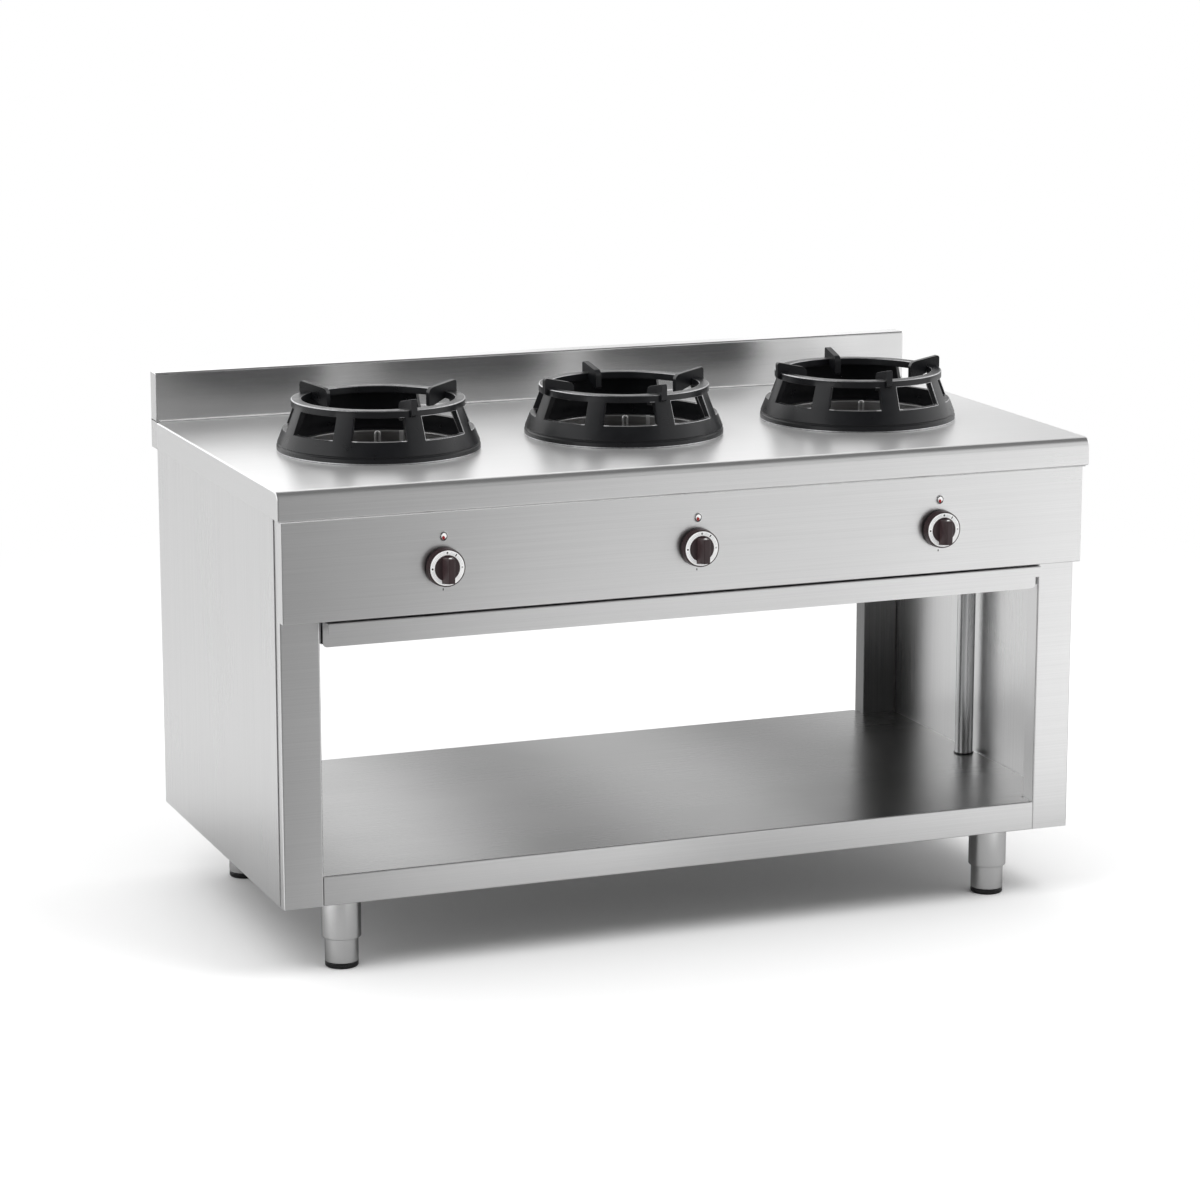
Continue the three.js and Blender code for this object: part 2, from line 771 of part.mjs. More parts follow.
// Radial blades that rise outwards and end in a tongue over the rim's outer edge.
function lugs(places) {
  const outer = ringTopRadius + lugOverhang;
  const inner = ringHoleRadius - lugReach;
  const innerTop = ringHeight + lugInnerRise;
  const innerLow = ringHeight - lugDrop;
  const outline = [
    [ringTopRadius - lugBite, rimLow],
    [outer, ringHeight - lugTongue],
    [outer, ringHeight + lugRise - lugCorner],
    [outer - lugCorner, ringHeight + lugRise],
    [inner + lugNose, innerTop + lugCorner / 2],
    [inner + lugNose / 4, innerTop - lugNose / 4],
    [inner, innerTop - lugNose],
    [inner, innerLow + lugCorner],
    [inner + lugCorner, innerLow],
    [ringHoleRadius + lugBite, rimLow + lugBite],
    [ringTopRadius - lugBite, rimLow + lugBite],
  ];
  const lug = alongY(outline, [-lugThickness / 2, lugThickness / 2]);
  return places.map((degrees) => lug.rotate([0, 0, degrees - 90]));
}

// A spun pan that hangs in the worktop's hole by its rolled rim.
function burnerPan() {
  const wall = panHoleRadius - panWallClearance;
  const floorEdge = wall - panFloorInset;
  const slopeTop = panFloorInset - panDepth;
  return turned([
    [panOpeningRadius, -panDepth - sheet],
    [floorEdge, -panDepth - sheet],
    [wall, slopeTop],
    [wall, panRimHeight - sheet],
    [panRimRadius - panRoll - sheet, panRimHeight - sheet],
    [panRimRadius - sheet, seat],
    [panRimRadius, seat],
    [panRimRadius - panRoll, panRimHeight],
    [wall - sheet, panRimHeight],
    [wall - sheet, slopeTop + sheet],
    [floorEdge - sheet, -panDepth],
    [panOpeningRadius, -panDepth],
  ], fineSides);
}

function burnerHead() {
  return turned([
    [feedBore, neckBottom],
    [neckRadius, neckBottom],
    [neckRadius, headBottom],
    [headRadius, headBottom + headChamfer],
    [headRadius, headTop - headChamfer],
    [headRadius - headChamfer, headTop],
    [headJetRadius, headTop],
    [headJetRadius, headTop - headWall],
    [headRadius - headWall, headTop - headChamfer - headWall],
    [headRadius - headWall, headBottom + headChamfer + headWall],
    [feedBore, headBottom + headWall],
  ]);
}

// From the valve's nozzle straight back and up into the burner's neck.
function burnerFeed() {
  const nozzleEnd = panelFace + valveBack + nozzleLength - burnerY;
  const corners = [[0, nozzleEnd + seat, -knobDrop], [0, 0, -knobDrop], [0, 0, neckBottom - seat]];
  return bentTube(corners, feedBend, feedRadius, feedBore);
}

// A bracket at the burner head's front with a hairpin pilot tube and a flat spark electrode.
function pilot() {
  const y = -pilotFromCentre;
  const half = pilotPlateWidth / 2;
  const plateTop = -pilotPlateDrop;
  const plateBack = -headRadius - seat;
  const root = plateTop - pilotPlateThickness / 2;
  const bracket = block([-half, half], [-pilotFront, plateBack], [plateTop - pilotPlateThickness, plateTop]);
  const tab = block(
    [-pilotTabWidth / 2, pilotTabWidth / 2],
    [plateBack - pilotPlateThickness, plateBack],
    [plateTop - pilotTabHeight, plateTop],
  );
  const left = hairpinInset - half;
  const right = left + hairpinWidth;
  const hairpin = bentTube(
    [[left, y, root], [left, y, hairpinTop], [right, y, hairpinTop], [right, y, root]],
    hairpinWidth / 2,
    hairpinRadius,
    0,
    wireSides,
  );
  const electrodeEnd = half - electrodeInset;
  const electrode = block(
    [electrodeEnd - electrodeWidth, electrodeEnd],
    [y - electrodeThickness / 2, y + electrodeThickness / 2],
    [root, electrodeTop],
  );
  return joined(bracket, tab, hairpin, electrode);
}

for (const [name, x] of Object.entries(burners)) {
  const group = groupAt(x, burnerY, worktopHeight);
  add(`wok_ring_${name}`, wokRing(name), castIron, group);
  add(`burner_pan_${name}`, burnerPan(), panSteel, group);
  add(`burner_head_${name}`, burnerHead(), burnerIron, group);
  add(`burner_feed_${name}`, burnerFeed(), zincSteel, group);
  add(`pilot_${name}`, pilot(), chrome, group);
}

// ---------------------------------------------------------------- controls
// Each is built about the knob's axis, with the panel's face at y = 0 and the front at -y.

function gasValve() {
  const bossBottom = manifoldTop + spigotHeight + seat - knobHeight;
  const barrel = rodY(valveRadius, [valveFront, valveBack]);
  const boss = rodZ(spigotRadius, [bossBottom, 0], [0, valveInlet], smallSides);
  const nozzle = rodY(nozzleRadius, [valveInlet, valveBack + nozzleLength]);
  const bore = rodY(spindleRadius + seat, [valveFront - overcut, valveFront + spindleInValve + seat]);
  return cut(joined(barrel, boss, nozzle), bore);
}

// D-section: a round rod with one flat, which the knob's bore shares.
function flattedRod(radius, flat, ys, flatEnd) {
  const offcut = block([-radius - overcut, radius + overcut], [ys[0] - overcut, flatEnd], [flat, radius + overcut]);
  return cut(rodY(radius, ys), offcut);
}

function valveSpindle() {
  const tip = knobTravel + seat - knobGap - knobBoreDepth;
  return flattedRod(spindleRadius, spindleFlat, [tip, valveFront + spindleInValve], knobTravel - knobGap);
}

function knob() {
  const hubFace = knobFace + hubRise;
  const skirt = turnedForward([
    [0, knobGap],
    [knobBackRadius, knobGap],
    [knobFrontRadius, knobFace - knobEdge],
    [knobFrontRadius - knobEdge, knobFace],
    [dialOuterRadius + seat, knobFace],
    [dialOuterRadius + seat, dialFloor],
    [hubRadius, dialFloor],
    [hubRadius, hubFace - knobEdge],
    [hubRadius - knobEdge, hubFace],
    [0, hubFace],
  ], roundSides, false);
  const hollow = turnedForward([
    [knobBossRadius, knobGap - overcut],
    [knobBackRadius - knobWall, knobGap - overcut],
    [knobFrontRadius - knobWall, dialFloor - knobWall],
    [knobBossRadius, dialFloor - knobWall],
  ]);
  const gripUp = Math.sqrt((hubRadius - gripInset) ** 2 - (gripWidth / 2) ** 2);
  const grip = new THREE.ExtrudeGeometry(shapeOf([
    [-gripWidth / 2, -dialFloor],
    [-gripTopWidth / 2, -knobGap - knobDepth],
    [gripTopWidth / 2, -knobGap - knobDepth],
    [gripWidth / 2, -dialFloor],
  ]), { depth: gripUp + gripDown, bevelEnabled: false });
  grip.translate(0, 0, -gripDown);
  const bore = flattedRod(spindleRadius + seat, spindleFlat + seat, [-knobGap - knobBoreDepth, 0], overcut);
  return cut(joined(skirt, solidOf(grip)), hollow, bore);
}

// A printed ring in the knob's recess, broken where the grip crosses it.
function dialRing() {
  const plate = turnedForward([
    [hubRadius + seat, dialFloor + seat],
    [dialOuterRadius, dialFloor + seat],
    [dialOuterRadius, knobFace + seat],
    [hubRadius + seat, knobFace + seat],
  ]);
  const half = gripWidth / 2 + seat;
  const gripRoom = block([-half, half], [-knobGap - knobDepth, 0], [-gripDown - seat, 0]);
  return cut(plate, gripRoom);
}

function indicator() {
  const dome = arcPoints([0, 0], 1, 0, 90).map(([across, out]) => [
    indicatorRadius * across,
    indicatorEdge + (indicatorRise - indicatorEdge) * out,
  ]);
  return turnedForward([
    [0, -indicatorStemLength],
    [indicatorStemRadius, -indicatorStemLength],
    [indicatorStemRadius, seat],
    [indicatorRadius, seat],
    ...dome,
  ], smallSides, false);
}

for (const [name, x] of Object.entries(burners)) {
  const control = groupAt(x, panelFace, knobHeight);
  add(`gas_valve_${name}`, gasValve(), brass, control);
  add(`valve_spindle_${name}`, valveSpindle(), brass, control);
  add(`knob_${name}`, knob(), knobPlastic, control);
  add(`dial_ring_${name}`, dialRing(), dialWhite, control);
  add(`indicator_${name}`, indicator(), lensWhite, groupAt(x, panelFace, indicatorHeight));
}

export default range;
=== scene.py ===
import math

import bmesh
import bpy
from mathutils import Matrix, Vector


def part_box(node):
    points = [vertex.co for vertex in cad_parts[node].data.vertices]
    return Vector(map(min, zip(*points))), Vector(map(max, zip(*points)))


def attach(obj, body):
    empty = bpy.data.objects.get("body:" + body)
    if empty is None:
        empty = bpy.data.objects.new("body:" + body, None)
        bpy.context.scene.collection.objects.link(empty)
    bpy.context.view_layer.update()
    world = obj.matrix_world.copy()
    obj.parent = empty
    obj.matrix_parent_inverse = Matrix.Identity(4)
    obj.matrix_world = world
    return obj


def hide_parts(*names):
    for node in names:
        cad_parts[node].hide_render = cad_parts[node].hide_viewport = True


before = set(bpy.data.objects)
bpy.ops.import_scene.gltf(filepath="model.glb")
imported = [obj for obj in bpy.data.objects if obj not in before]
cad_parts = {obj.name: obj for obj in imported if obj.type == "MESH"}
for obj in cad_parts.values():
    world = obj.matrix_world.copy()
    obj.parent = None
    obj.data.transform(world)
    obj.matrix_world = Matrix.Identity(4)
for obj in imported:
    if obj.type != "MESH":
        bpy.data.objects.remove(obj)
scene = bpy.context.scene
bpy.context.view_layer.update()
print("frame loaded:", len(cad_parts), "nodes")

# Metres, +Z up, +Y to the back. The three burners and their controls share these names.
burnerNames = ("left", "middle", "right")
cornerNames = [end + "_" + side for end in ("front", "rear") for side in ("left", "right")]
mm = 0.001
wideFace = 0.5  # square metres, only the worktop's and the shelf's large faces are wider


# ---- camera, in the photograph's place

view = {
    "place": (-2.4835, -6.2731, 1.9734),
    "yaw": 21.333,  # degrees from +Y towards +X
    "pitch": 12.016,  # degrees down
    "lens": 114.16,  # on a 36 mm sensor
}


def addCamera():
    data = bpy.data.cameras.new("camera")
    data.lens = view["lens"]
    data.sensor_width = 36
    data.clip_end = 200
    camera = bpy.data.objects.new("camera", data)
    camera.location = view["place"]
    camera.rotation_euler = (math.radians(90 - view["pitch"]), 0, math.radians(-view["yaw"]))
    scene.collection.objects.link(camera)
    scene.camera = camera


addCamera()
print("camera placed")


# ---- small modelling helpers

def boxMesh(low, high):
    size = Vector(high) - Vector(low)
    middle = (Vector(high) + Vector(low)) / 2
    bm = bmesh.new()
    bmesh.ops.create_cube(bm, size=1, matrix=Matrix.Translation(middle) @ Matrix.Diagonal((*size, 1)))
    return bm


def bevelEdges(bm, edges, offset, segments=3, affect="EDGES"):
    bmesh.ops.bevel(
        bm, geom=edges, offset=offset, offset_type="OFFSET", segments=segments, profile=0.5,
        affect=affect, clamp_overlap=True, material=-1,
    )


def sharpEdges(bm, degrees=40):
    limit = math.radians(degrees)
    return [e for e in bm.edges if len(e.link_faces) == 2 and e.calc_face_angle(0) > limit]


def edgesAt(bm, **place):
    # edges that lie wholly at the given x, y or z
    def fits(vert):
        return all(abs(getattr(vert.co, axis) - value) < 1e-5 for axis, value in place.items())
    return [e for e in bm.edges if all(fits(v) for v in e.verts)]


def reach(edge, axis):
    return abs(getattr(edge.verts[0].co, axis) - getattr(edge.verts[1].co, axis))


def facing(bm, axis, sign):
    # flat faces that look along an axis
    return [f for f in bm.faces if getattr(f.normal, axis) * sign > 0.99]


def vertsOf(grown):
    return [g for g in grown if isinstance(g, bmesh.types.BMVert)]


def shifted(bm, place):
    bmesh.ops.translate(bm, verts=bm.verts, vec=place)
    return bm


def thicken(bm, gauge):
    bmesh.ops.recalc_face_normals(bm, faces=bm.faces)
    bmesh.ops.solidify(bm, geom=list(bm.faces), thickness=gauge)


def opened(bm, faces):
    bmesh.ops.delete(bm, geom=faces, context="FACES")


def hemmed(bm, depth, gauge):
    # a box becomes a sheet pan with a return round its open underside
    bmesh.ops.inset_region(bm, faces=facing(bm, "z", -1), thickness=depth, depth=0)
    opened(bm, [f for f in facing(bm, "z", -1) if f.calc_area() > wideFace])
    thicken(bm, gauge)


def tidied(bm):
    bmesh.ops.remove_doubles(bm, verts=bm.verts, dist=1e-6)
    bmesh.ops.recalc_face_normals(bm, faces=bm.faces)
    return bm


def rounded(points, steps, closed=True):
    # each (a, b, radius) corner becomes an arc of its radius
    outline = []
    count = len(points)
    for i, (a, b, radius) in enumerate(points):
        corner = Vector((a, b))
        if radius == 0 or (not closed and i in (0, count - 1)):
            outline.append(corner)
            continue
        into = (Vector(points[i - 1][:2]) - corner).normalized()
        away = (Vector(points[(i + 1) % count][:2]) - corner).normalized()
        half = into.angle(away) / 2
        setback = radius / math.tan(half)
        centre = corner + (into + away).normalized() * radius / math.sin(half)
        start = corner + into * setback - centre
        end = corner + away * setback - centre
        first = math.atan2(start.y, start.x)
        turn = (math.atan2(end.y, end.x) - first + math.pi) % (2 * math.pi) - math.pi
        for step in range(steps + 1):
            angle = first + turn * step / steps
            outline.append(centre + radius * Vector((math.cos(angle), math.sin(angle))))
    return outline


def spun(outline, steps, closed=True):
    # an outline of (radius, height) pairs turned about the Z axis
    part = bmesh.new()
    verts = [part.verts.new((radius, 0, height)) for radius, height in outline]
    pairs = list(zip(verts, verts[1:] + verts[:1])) if closed else list(zip(verts, verts[1:]))
    edges = [part.edges.new(pair) for pair in pairs]
    bmesh.ops.spin(
        part, geom=verts + edges, cent=(0, 0, 0), axis=(0, 0, 1), angle=2 * math.pi, steps=steps,
        use_merge=True, use_duplicate=False,
    )
    return tidied(part)


def turned(profile, steps, sides, closed=False):
    # a profile of (radius, height, corner radius) points turned about the Z axis
    return spun(rounded(profile, steps, closed), sides, closed)


def cylinder(radius, depth, sides, matrix):
    part = bmesh.new()
    bmesh.ops.create_cone(
        part, cap_ends=True, segments=sides, radius1=radius, radius2=radius, depth=depth, matrix=matrix)
    return part


def slab(points, vec):
    # a flat face drawn out along a vector
    part = bmesh.new()
    face = part.faces.new([part.verts.new(point) for point in points])
    grown = bmesh.ops.extrude_face_region(part, geom=[face])["geom"]
    bmesh.ops.translate(part, verts=vertsOf(grown), vec=vec)
    bmesh.ops.recalc_face_normals(part, faces=part.faces)
    return part


def strip(points, vec):
    # an open line of points drawn out along a vector
    part = bmesh.new()
    verts = [part.verts.new(point) for point in points]
    edges = [part.edges.new(pair) for pair in zip(verts, verts[1:])]
    grown = bmesh.ops.extrude_edge_only(part, edges=edges)["geom"]
    bmesh.ops.translate(part, verts=vertsOf(grown), vec=vec)
    return part


def added(bm, part, matrix=None):
    # puts a part into another bmesh, and is the part itself where there is none yet
    if matrix is not None:
        part.transform(matrix)
        if matrix.determinant() < 0:
            bmesh.ops.reverse_faces(part, faces=part.faces)
    if bm is None:
        return part
    carrier = bpy.data.meshes.new("carrier")
    part.to_mesh(carrier)
    bm.from_mesh(carrier)
    bpy.data.meshes.remove(carrier)
    part.free()
    return bm


def prism(outline, depth, edge=0.0):
    # an (x, z) outline drawn out along Y by its depth, half to each side
    part = slab([(a, -depth / 2, b) for a, b in outline], (0, depth, 0))
    if edge:
        bevelEdges(part, sharpEdges(part, 60), edge, 3)
    return part


def pipeRun(start, heading, radius, moves, sides=24, bendSteps=10, bm=None):
    # moves are ("run", length) or ("bend", new heading, bend radius); both ends are closed
    place = Vector(start)
    heading = Vector(heading)
    part = bmesh.new()
    turn = heading.to_track_quat("Z", "Y").to_matrix().to_4x4()
    ring = bmesh.ops.create_circle(part, segments=sides, radius=radius, matrix=Matrix.Translation(place) @ turn)
    loop = list({e for v in ring["verts"] for e in v.link_edges})
    for kind, *move in moves:
        if kind == "run":
            grown = bmesh.ops.extrude_edge_only(part, edges=loop)["geom"]
            step = heading * move[0]
            bmesh.ops.translate(part, verts=vertsOf(grown), vec=step)
            loop = [g for g in grown if isinstance(g, bmesh.types.BMEdge)]
            place = place + step
        else:
            towards, bend = Vector(move[0]), move[1]
            corners = list({v for e in loop for v in e.verts})
            swept = bmesh.ops.spin(
                part, geom=corners + loop, cent=place + towards * bend, axis=heading.cross(towards),
                angle=math.pi / 2, steps=bendSteps, use_merge=False, use_duplicate=False,
            )
            loop = [g for g in swept["geom_last"] if isinstance(g, bmesh.types.BMEdge)]
            place = place + (heading + towards) * bend
            heading = towards
    bmesh.ops.holes_fill(part, edges=[e for e in part.edges if e.is_boundary], sides=0)
    return added(bm, tidied(part))


def meshOf(bm, name):
    mesh = bpy.data.meshes.new(name)
    bm.to_mesh(mesh)
    bm.free()
    return mesh


def cutAway(bm, cutter):
    # takes the cutter out of the body and gives a new bmesh
    body = bpy.data.objects.new("body", meshOf(bm, "body"))
    tool = bpy.data.objects.new("tool", meshOf(cutter, "tool"))
    for item in (body, tool):
        scene.collection.objects.link(item)
    modifier = body.modifiers.new("cut", "BOOLEAN")
    modifier.operation = "DIFFERENCE"
    modifier.solver = "EXACT"
    modifier.object = tool
    result = bpy.data.meshes.new_from_object(body.evaluated_get(bpy.context.evaluated_depsgraph_get()))
    left = bmesh.new()
    left.from_mesh(result)
    for item in (body, tool):
        mesh = item.data
        bpy.data.objects.remove(item)
        bpy.data.meshes.remove(mesh)
    bpy.data.meshes.remove(result)
    return left


def finished(name, bm, material, body, nodes=()):
    # a finished piece: smooth where it is round, sharp at its folds, riding on its body
    for face in bm.faces:
        face.smooth = True
    for edge in sharpEdges(bm, 32):
        edge.smooth = False
    mesh = meshOf(bm, name)
    mesh.materials.append(material)
    piece = bpy.data.objects.new(name, mesh)
    scene.collection.objects.link(piece)
    weighted = piece.modifiers.new("flat faces stay flat", "WEIGHTED_NORMAL")
    weighted.keep_sharp = True
    weighted.weight = 80
    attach(piece, body)
    if nodes:
        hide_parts(*nodes)
    return piece


def middleOf(node):
    low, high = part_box(node)
    return (low + high) / 2


def burnerPlace(name):
    # the burner's centre on the worktop
    centre = middleOf("burner_pan_" + name)
    return Vector((centre.x, centre.y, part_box("worktop")[1].z))


# ---- shader groups and materials

def grey(value):
    return (value, value, value)


def addNode(tree, kind, settings=None, inputs=None):
    # an input is a constant or another node's output
    made = tree.nodes.new(kind)
    for name, value in (settings or {}).items():
        setattr(made, name, value)
    for name, value in (inputs or {}).items():
        if isinstance(value, bpy.types.NodeSocket):
            tree.links.new(value, made.inputs[name])
        else:
            made.inputs[name].default_value = value
    return made


def mathNode(tree, operation, *values, clamp=False):
    settings = {"operation": operation, "use_clamp": clamp}
    return addNode(tree, "ShaderNodeMath", settings, dict(enumerate(values))).outputs[0]


def scaled(tree, vector, factors):
    made = addNode(tree, "ShaderNodeVectorMath", {"operation": "MULTIPLY"}, {0: vector, 1: factors})
    return made.outputs[0]


def noise(tree, vector, scale, detail=2.0, roughness=0.5):
    made = addNode(tree, "ShaderNodeTexNoise", None, {
        "Vector": vector, "Scale": scale, "Detail": detail, "Roughness": roughness,
    })
    return made.outputs["Fac"]


def ranged(tree, value, fromLow, fromHigh, toLow=0.0, toHigh=1.0, kind="LINEAR"):
    made = addNode(tree, "ShaderNodeMapRange", {"interpolation_type": kind}, {
        "Value": value, "From Min": fromLow, "From Max": fromHigh, "To Min": toLow, "To Max": toHigh,
    })
    return made.outputs["Result"]


def fading(tree, value, start, end):
    return ranged(tree, value, start, end, kind="SMOOTHSTEP")


def mixColor(tree, factor, first, second):
    # colours are (red, green, blue) or another node's output
    ends = [(*end, 1) if isinstance(end, tuple) else end for end in (first, second)]
    made = addNode(tree, "ShaderNodeMix", {"data_type": "RGBA"}, {0: factor, 6: ends[0], 7: ends[1]})
    return made.outputs[2]


def greyRamp(tree, value, stops):
    # stops are (position, grey) pairs between 0 and 1
    made = addNode(tree, "ShaderNodeValToRGB", None, {"Fac": value})
    made.color_ramp.interpolation = "B_SPLINE"
    elements = made.color_ramp.elements
    while len(elements) < len(stops):
        elements.new(0.5)
    for element, (position, tone) in zip(elements, stops):
        element.position = position
    for element, (position, tone) in zip(elements, stops):
        element.color = (*grey(tone), 1)
    return made.outputs["Color"]


def newGroup(name, inputs, outputs):
    tree = bpy.data.node_groups.new(name, "ShaderNodeTree")
    for label, kind, value in inputs:
        socket = tree.interface.new_socket(label, in_out="INPUT", socket_type=kind)
        socket.default_value = value
    for label in outputs:
        tree.interface.new_socket(label, in_out="OUTPUT", socket_type="NodeSocketFloat")
    return tree, tree.nodes.new("NodeGroupInput"), tree.nodes.new("NodeGroupOutput")


def makeBrushedGroup():
    # long fine scratches, broader streaks, faint hand smudges and the slow waves of a rolled sheet
    tree, given, out = newGroup("brushed grain", [
        ("Vector", "NodeSocketVector", (0, 0, 0)),
        ("Stretch", "NodeSocketVector", (5, 1300, 1300)),
    ], ["Tone", "Gloss", "Height", "Wave"])
    stretched = scaled(tree, given.outputs["Vector"], given.outputs["Stretch"])
    fine = noise(tree, stretched, 1.0, 2.0, 0.6)
    broad = noise(tree, stretched, 0.3, 2.0, 0.6)
    cloud = noise(tree, given.outputs["Vector"], 3.0, 2.0)
    both = mathNode(tree, "MULTIPLY_ADD", fine, 0.5, mathNode(tree, "MULTIPLY", broad, 0.5))
    tree.links.new(ranged(tree, both, 0.3, 0.7), out.inputs["Tone"])
    soft = mathNode(tree, "MULTIPLY_ADD", cloud, 0.7, mathNode(tree, "MULTIPLY", fine, 0.3))
    tree.links.new(ranged(tree, soft, 0.3, 0.7), out.inputs["Gloss"])
    tree.links.new(fine, out.inputs["Height"])
    sideways = scaled(tree, given.outputs["Vector"], (1, 0.12, 0.12))
    tree.links.new(noise(tree, sideways, 4.2, 1.0), out.inputs["Wave"])
    return tree


def makeWearGroup():
    # lighter edges, broken up so that they don't read as a drawn line: bare wear, and on the castings also a
    # painted highlight
    tree, given, out = newGroup("edge wear and highlight", [
        ("Vector", "NodeSocketVector", (0, 0, 0)),
        ("From", "NodeSocketFloat", 0.52),
        ("To", "NodeSocketFloat", 0.6),
        ("Breakup", "NodeSocketFloat", 60.0),
    ], ["Mask"])
    pointy = tree.nodes.new("ShaderNodeNewGeometry").outputs["Pointiness"]
    edge = fading(tree, pointy, given.outputs["From"], given.outputs["To"])
    broken = noise(tree, given.outputs["Vector"], given.outputs["Breakup"], 3.0)
    patches = ranged(tree, broken, 0.35, 0.6, 0.35)
    tree.links.new(mathNode(tree, "MULTIPLY", edge, patches, clamp=True), out.inputs["Mask"])
    return tree


def makeCastGroup():
    # sand-cast skin: close grains with a few shallow pits and a slow unevenness
    tree, given, out = newGroup("cast skin", [
        ("Vector", "NodeSocketVector", (0, 0, 0)),
        ("Grain", "NodeSocketFloat", 900.0),
    ], ["Tone", "Height"])
    grains = noise(tree, given.outputs["Vector"], given.outputs["Grain"], 2.0, 0.7)
    slow = noise(tree, given.outputs["Vector"], 45.0, 3.0)
    pits = addNode(tree, "ShaderNodeTexVoronoi", {"feature": "F1"}, {
        "Vector": given.outputs["Vector"], "Scale": 260.0, "Randomness": 1.0,
    }).outputs["Distance"]
    pitted = fading(tree, pits, 0.05, 0.25)
    height = mathNode(tree, "MULTIPLY_ADD", grains, 0.6, mathNode(tree, "MULTIPLY", pitted, 0.4))
    tree.links.new(height, out.inputs["Height"])
    tree.links.new(ranged(tree, slow, 0.3, 0.7), out.inputs["Tone"])
    return tree


def makeSmudgeGroup():
    # fingerprints and wiped dust on smooth pieces
    tree, given, out = newGroup("smudges", [
        ("Vector", "NodeSocketVector", (0, 0, 0)),
        ("Size", "NodeSocketFloat", 30.0),
    ], ["Mask", "Height"])
    wiped = noise(tree, given.outputs["Vector"], given.outputs["Size"], 4.0, 0.6)
    peel = noise(tree, given.outputs["Vector"], 1400.0, 1.0)
    tree.links.new(ranged(tree, wiped, 0.35, 0.7), out.inputs["Mask"])
    tree.links.new(peel, out.inputs["Height"])
    return tree


brushedGroup = makeBrushedGroup()
wearAndHighlightGroup = makeWearGroup()
castGroup = makeCastGroup()
smudgeGroup = makeSmudgeGroup()


def newMaterial(name, metallic, **constants):
    material = bpy.data.materials.new(name)
    material.use_nodes = True
    tree = material.node_tree
    shader = tree.nodes["Principled BSDF"]
    shader.inputs["Metallic"].default_value = metallic
    for socket, value in constants.items():
        shader.inputs[socket.replace("_", " ")].default_value = value
    place = tree.nodes.new("ShaderNodeTexCoord").outputs["Object"]
    return material, tree, shader, place


def placeGroup(tree, group, inputs):
    return addNode(tree, "ShaderNodeGroup", {"node_tree": group}, inputs).outputs


def bump(tree, shader, height, strength, distance):
    made = addNode(tree, "ShaderNodeBump", None, {
        "Height": height, "Strength": strength, "Distance": distance,
    })
    tree.links.new(made.outputs["Normal"], shader.inputs["Normal"])


def paint(tree, shader, color, glossMask, rough):
    tree.links.new(color, shader.inputs["Base Color"])
    tree.links.new(ranged(tree, glossMask, 0, 1, *rough), shader.inputs["Roughness"])


def brushedSteel(name, stretch, dark, light, rough, relief=0.06, paintedReflectionBands=0.0, waves=0.0, scatter=0.0):
    # relief and waves are heights; the bands value darkens slow bands along the sheet, a painted reflection;
    # scatter the share of light that the finest scratches throw all round
    material, tree, shader, place = newMaterial(name, 1 - scatter)
    grain = placeGroup(tree, brushedGroup, {"Vector": place, "Stretch": stretch})
    color = mixColor(tree, grain["Tone"], dark, light)
    if paintedReflectionBands:
        # painted reflection: slow darker and lighter bands along the sheet, painted into its colour
        wave = addNode(tree, "ShaderNodeTexWave", {"bands_direction": "X", "wave_profile": "SIN"}, {
            "Vector": place, "Scale": 0.52, "Distortion": 1.2, "Detail": 1.0, "Phase Offset": 2.1,
        })
        color = mixColor(tree, ranged(tree, wave.outputs["Fac"], 0, 1, paintedReflectionBands, 0), color, grey(0))
    paint(tree, shader, color, grain["Gloss"], rough)
    height = mathNode(tree, "MULTIPLY", grain["Height"], relief * 0.0004)
    if waves:
        height = mathNode(tree, "ADD", height, mathNode(tree, "MULTIPLY", grain["Wave"], waves))
    bump(tree, shader, height, 1.0, 1.0)
    return material


grainAlongX = (5, 1300, 1300)
grainAlongZ = (1300, 1300, 5)
sheetGreys = (grey(0.80), grey(0.88))  # darkest and lightest
sheetSteel = brushedSteel("sheet steel, grain along the front", grainAlongX, *sheetGreys, (0.27, 0.33))
# painted light: a lighter copy of the sheet steel for the worktop's upward faces, for the light that falls on
# them from above
topLitSteel = brushedSteel("worktop steel, painted light on top", grainAlongX, grey(0.86), grey(0.92), (0.29, 0.35), scatter=0.22)
upstandSteel = brushedSteel("upstand steel", grainAlongX, *sheetGreys, (0.2, 0.26), waves=0.006)
# painted shade: a much darker copy of the sheet steel for the shelf's top, which lies in the cabinet's shade,
# with painted reflection bands along it
shelfShadeSteel = brushedSteel("shelf steel, painted shade", grainAlongX, grey(0.29), grey(0.34), (0.24, 0.31), paintedReflectionBands=0.6)
# painted shade: a near-black copy of the steel for the rear posts, standing in for the dark interior round them
rearShadeSteel = brushedSteel("rear post steel, painted shade", grainAlongZ, grey(0.17), grey(0.23), (0.25, 0.32))
sideSteel = brushedSteel("sheet steel, upright grain", grainAlongZ, *sheetGreys, (0.25, 0.32))
tubeSteel = brushedSteel("polished leg tube", grainAlongZ, grey(0.95), grey(1.0), (0.16, 0.22), 0.03)


def panSteelMaterial():
    # spun steel with turning marks about each burner and smudges
    material, tree, shader, place = newMaterial("spun pan steel", 1.0)
    smudge = placeGroup(tree, smudgeGroup, {"Vector": place, "Size": 18.0})
    grain = placeGroup(tree, brushedGroup, {"Vector": place, "Stretch": (30, 30, 1800)})
    tinted = mixColor(tree, smudge["Mask"], (0.50, 0.49, 0.48), (0.40, 0.39, 0.40))
    paint(tree, shader, mixColor(tree, grain["Tone"], tinted, grey(0.60)), grain["Gloss"], (0.25, 0.42))
    bump(tree, shader, grain["Height"], 0.08, 0.0004)
    return material


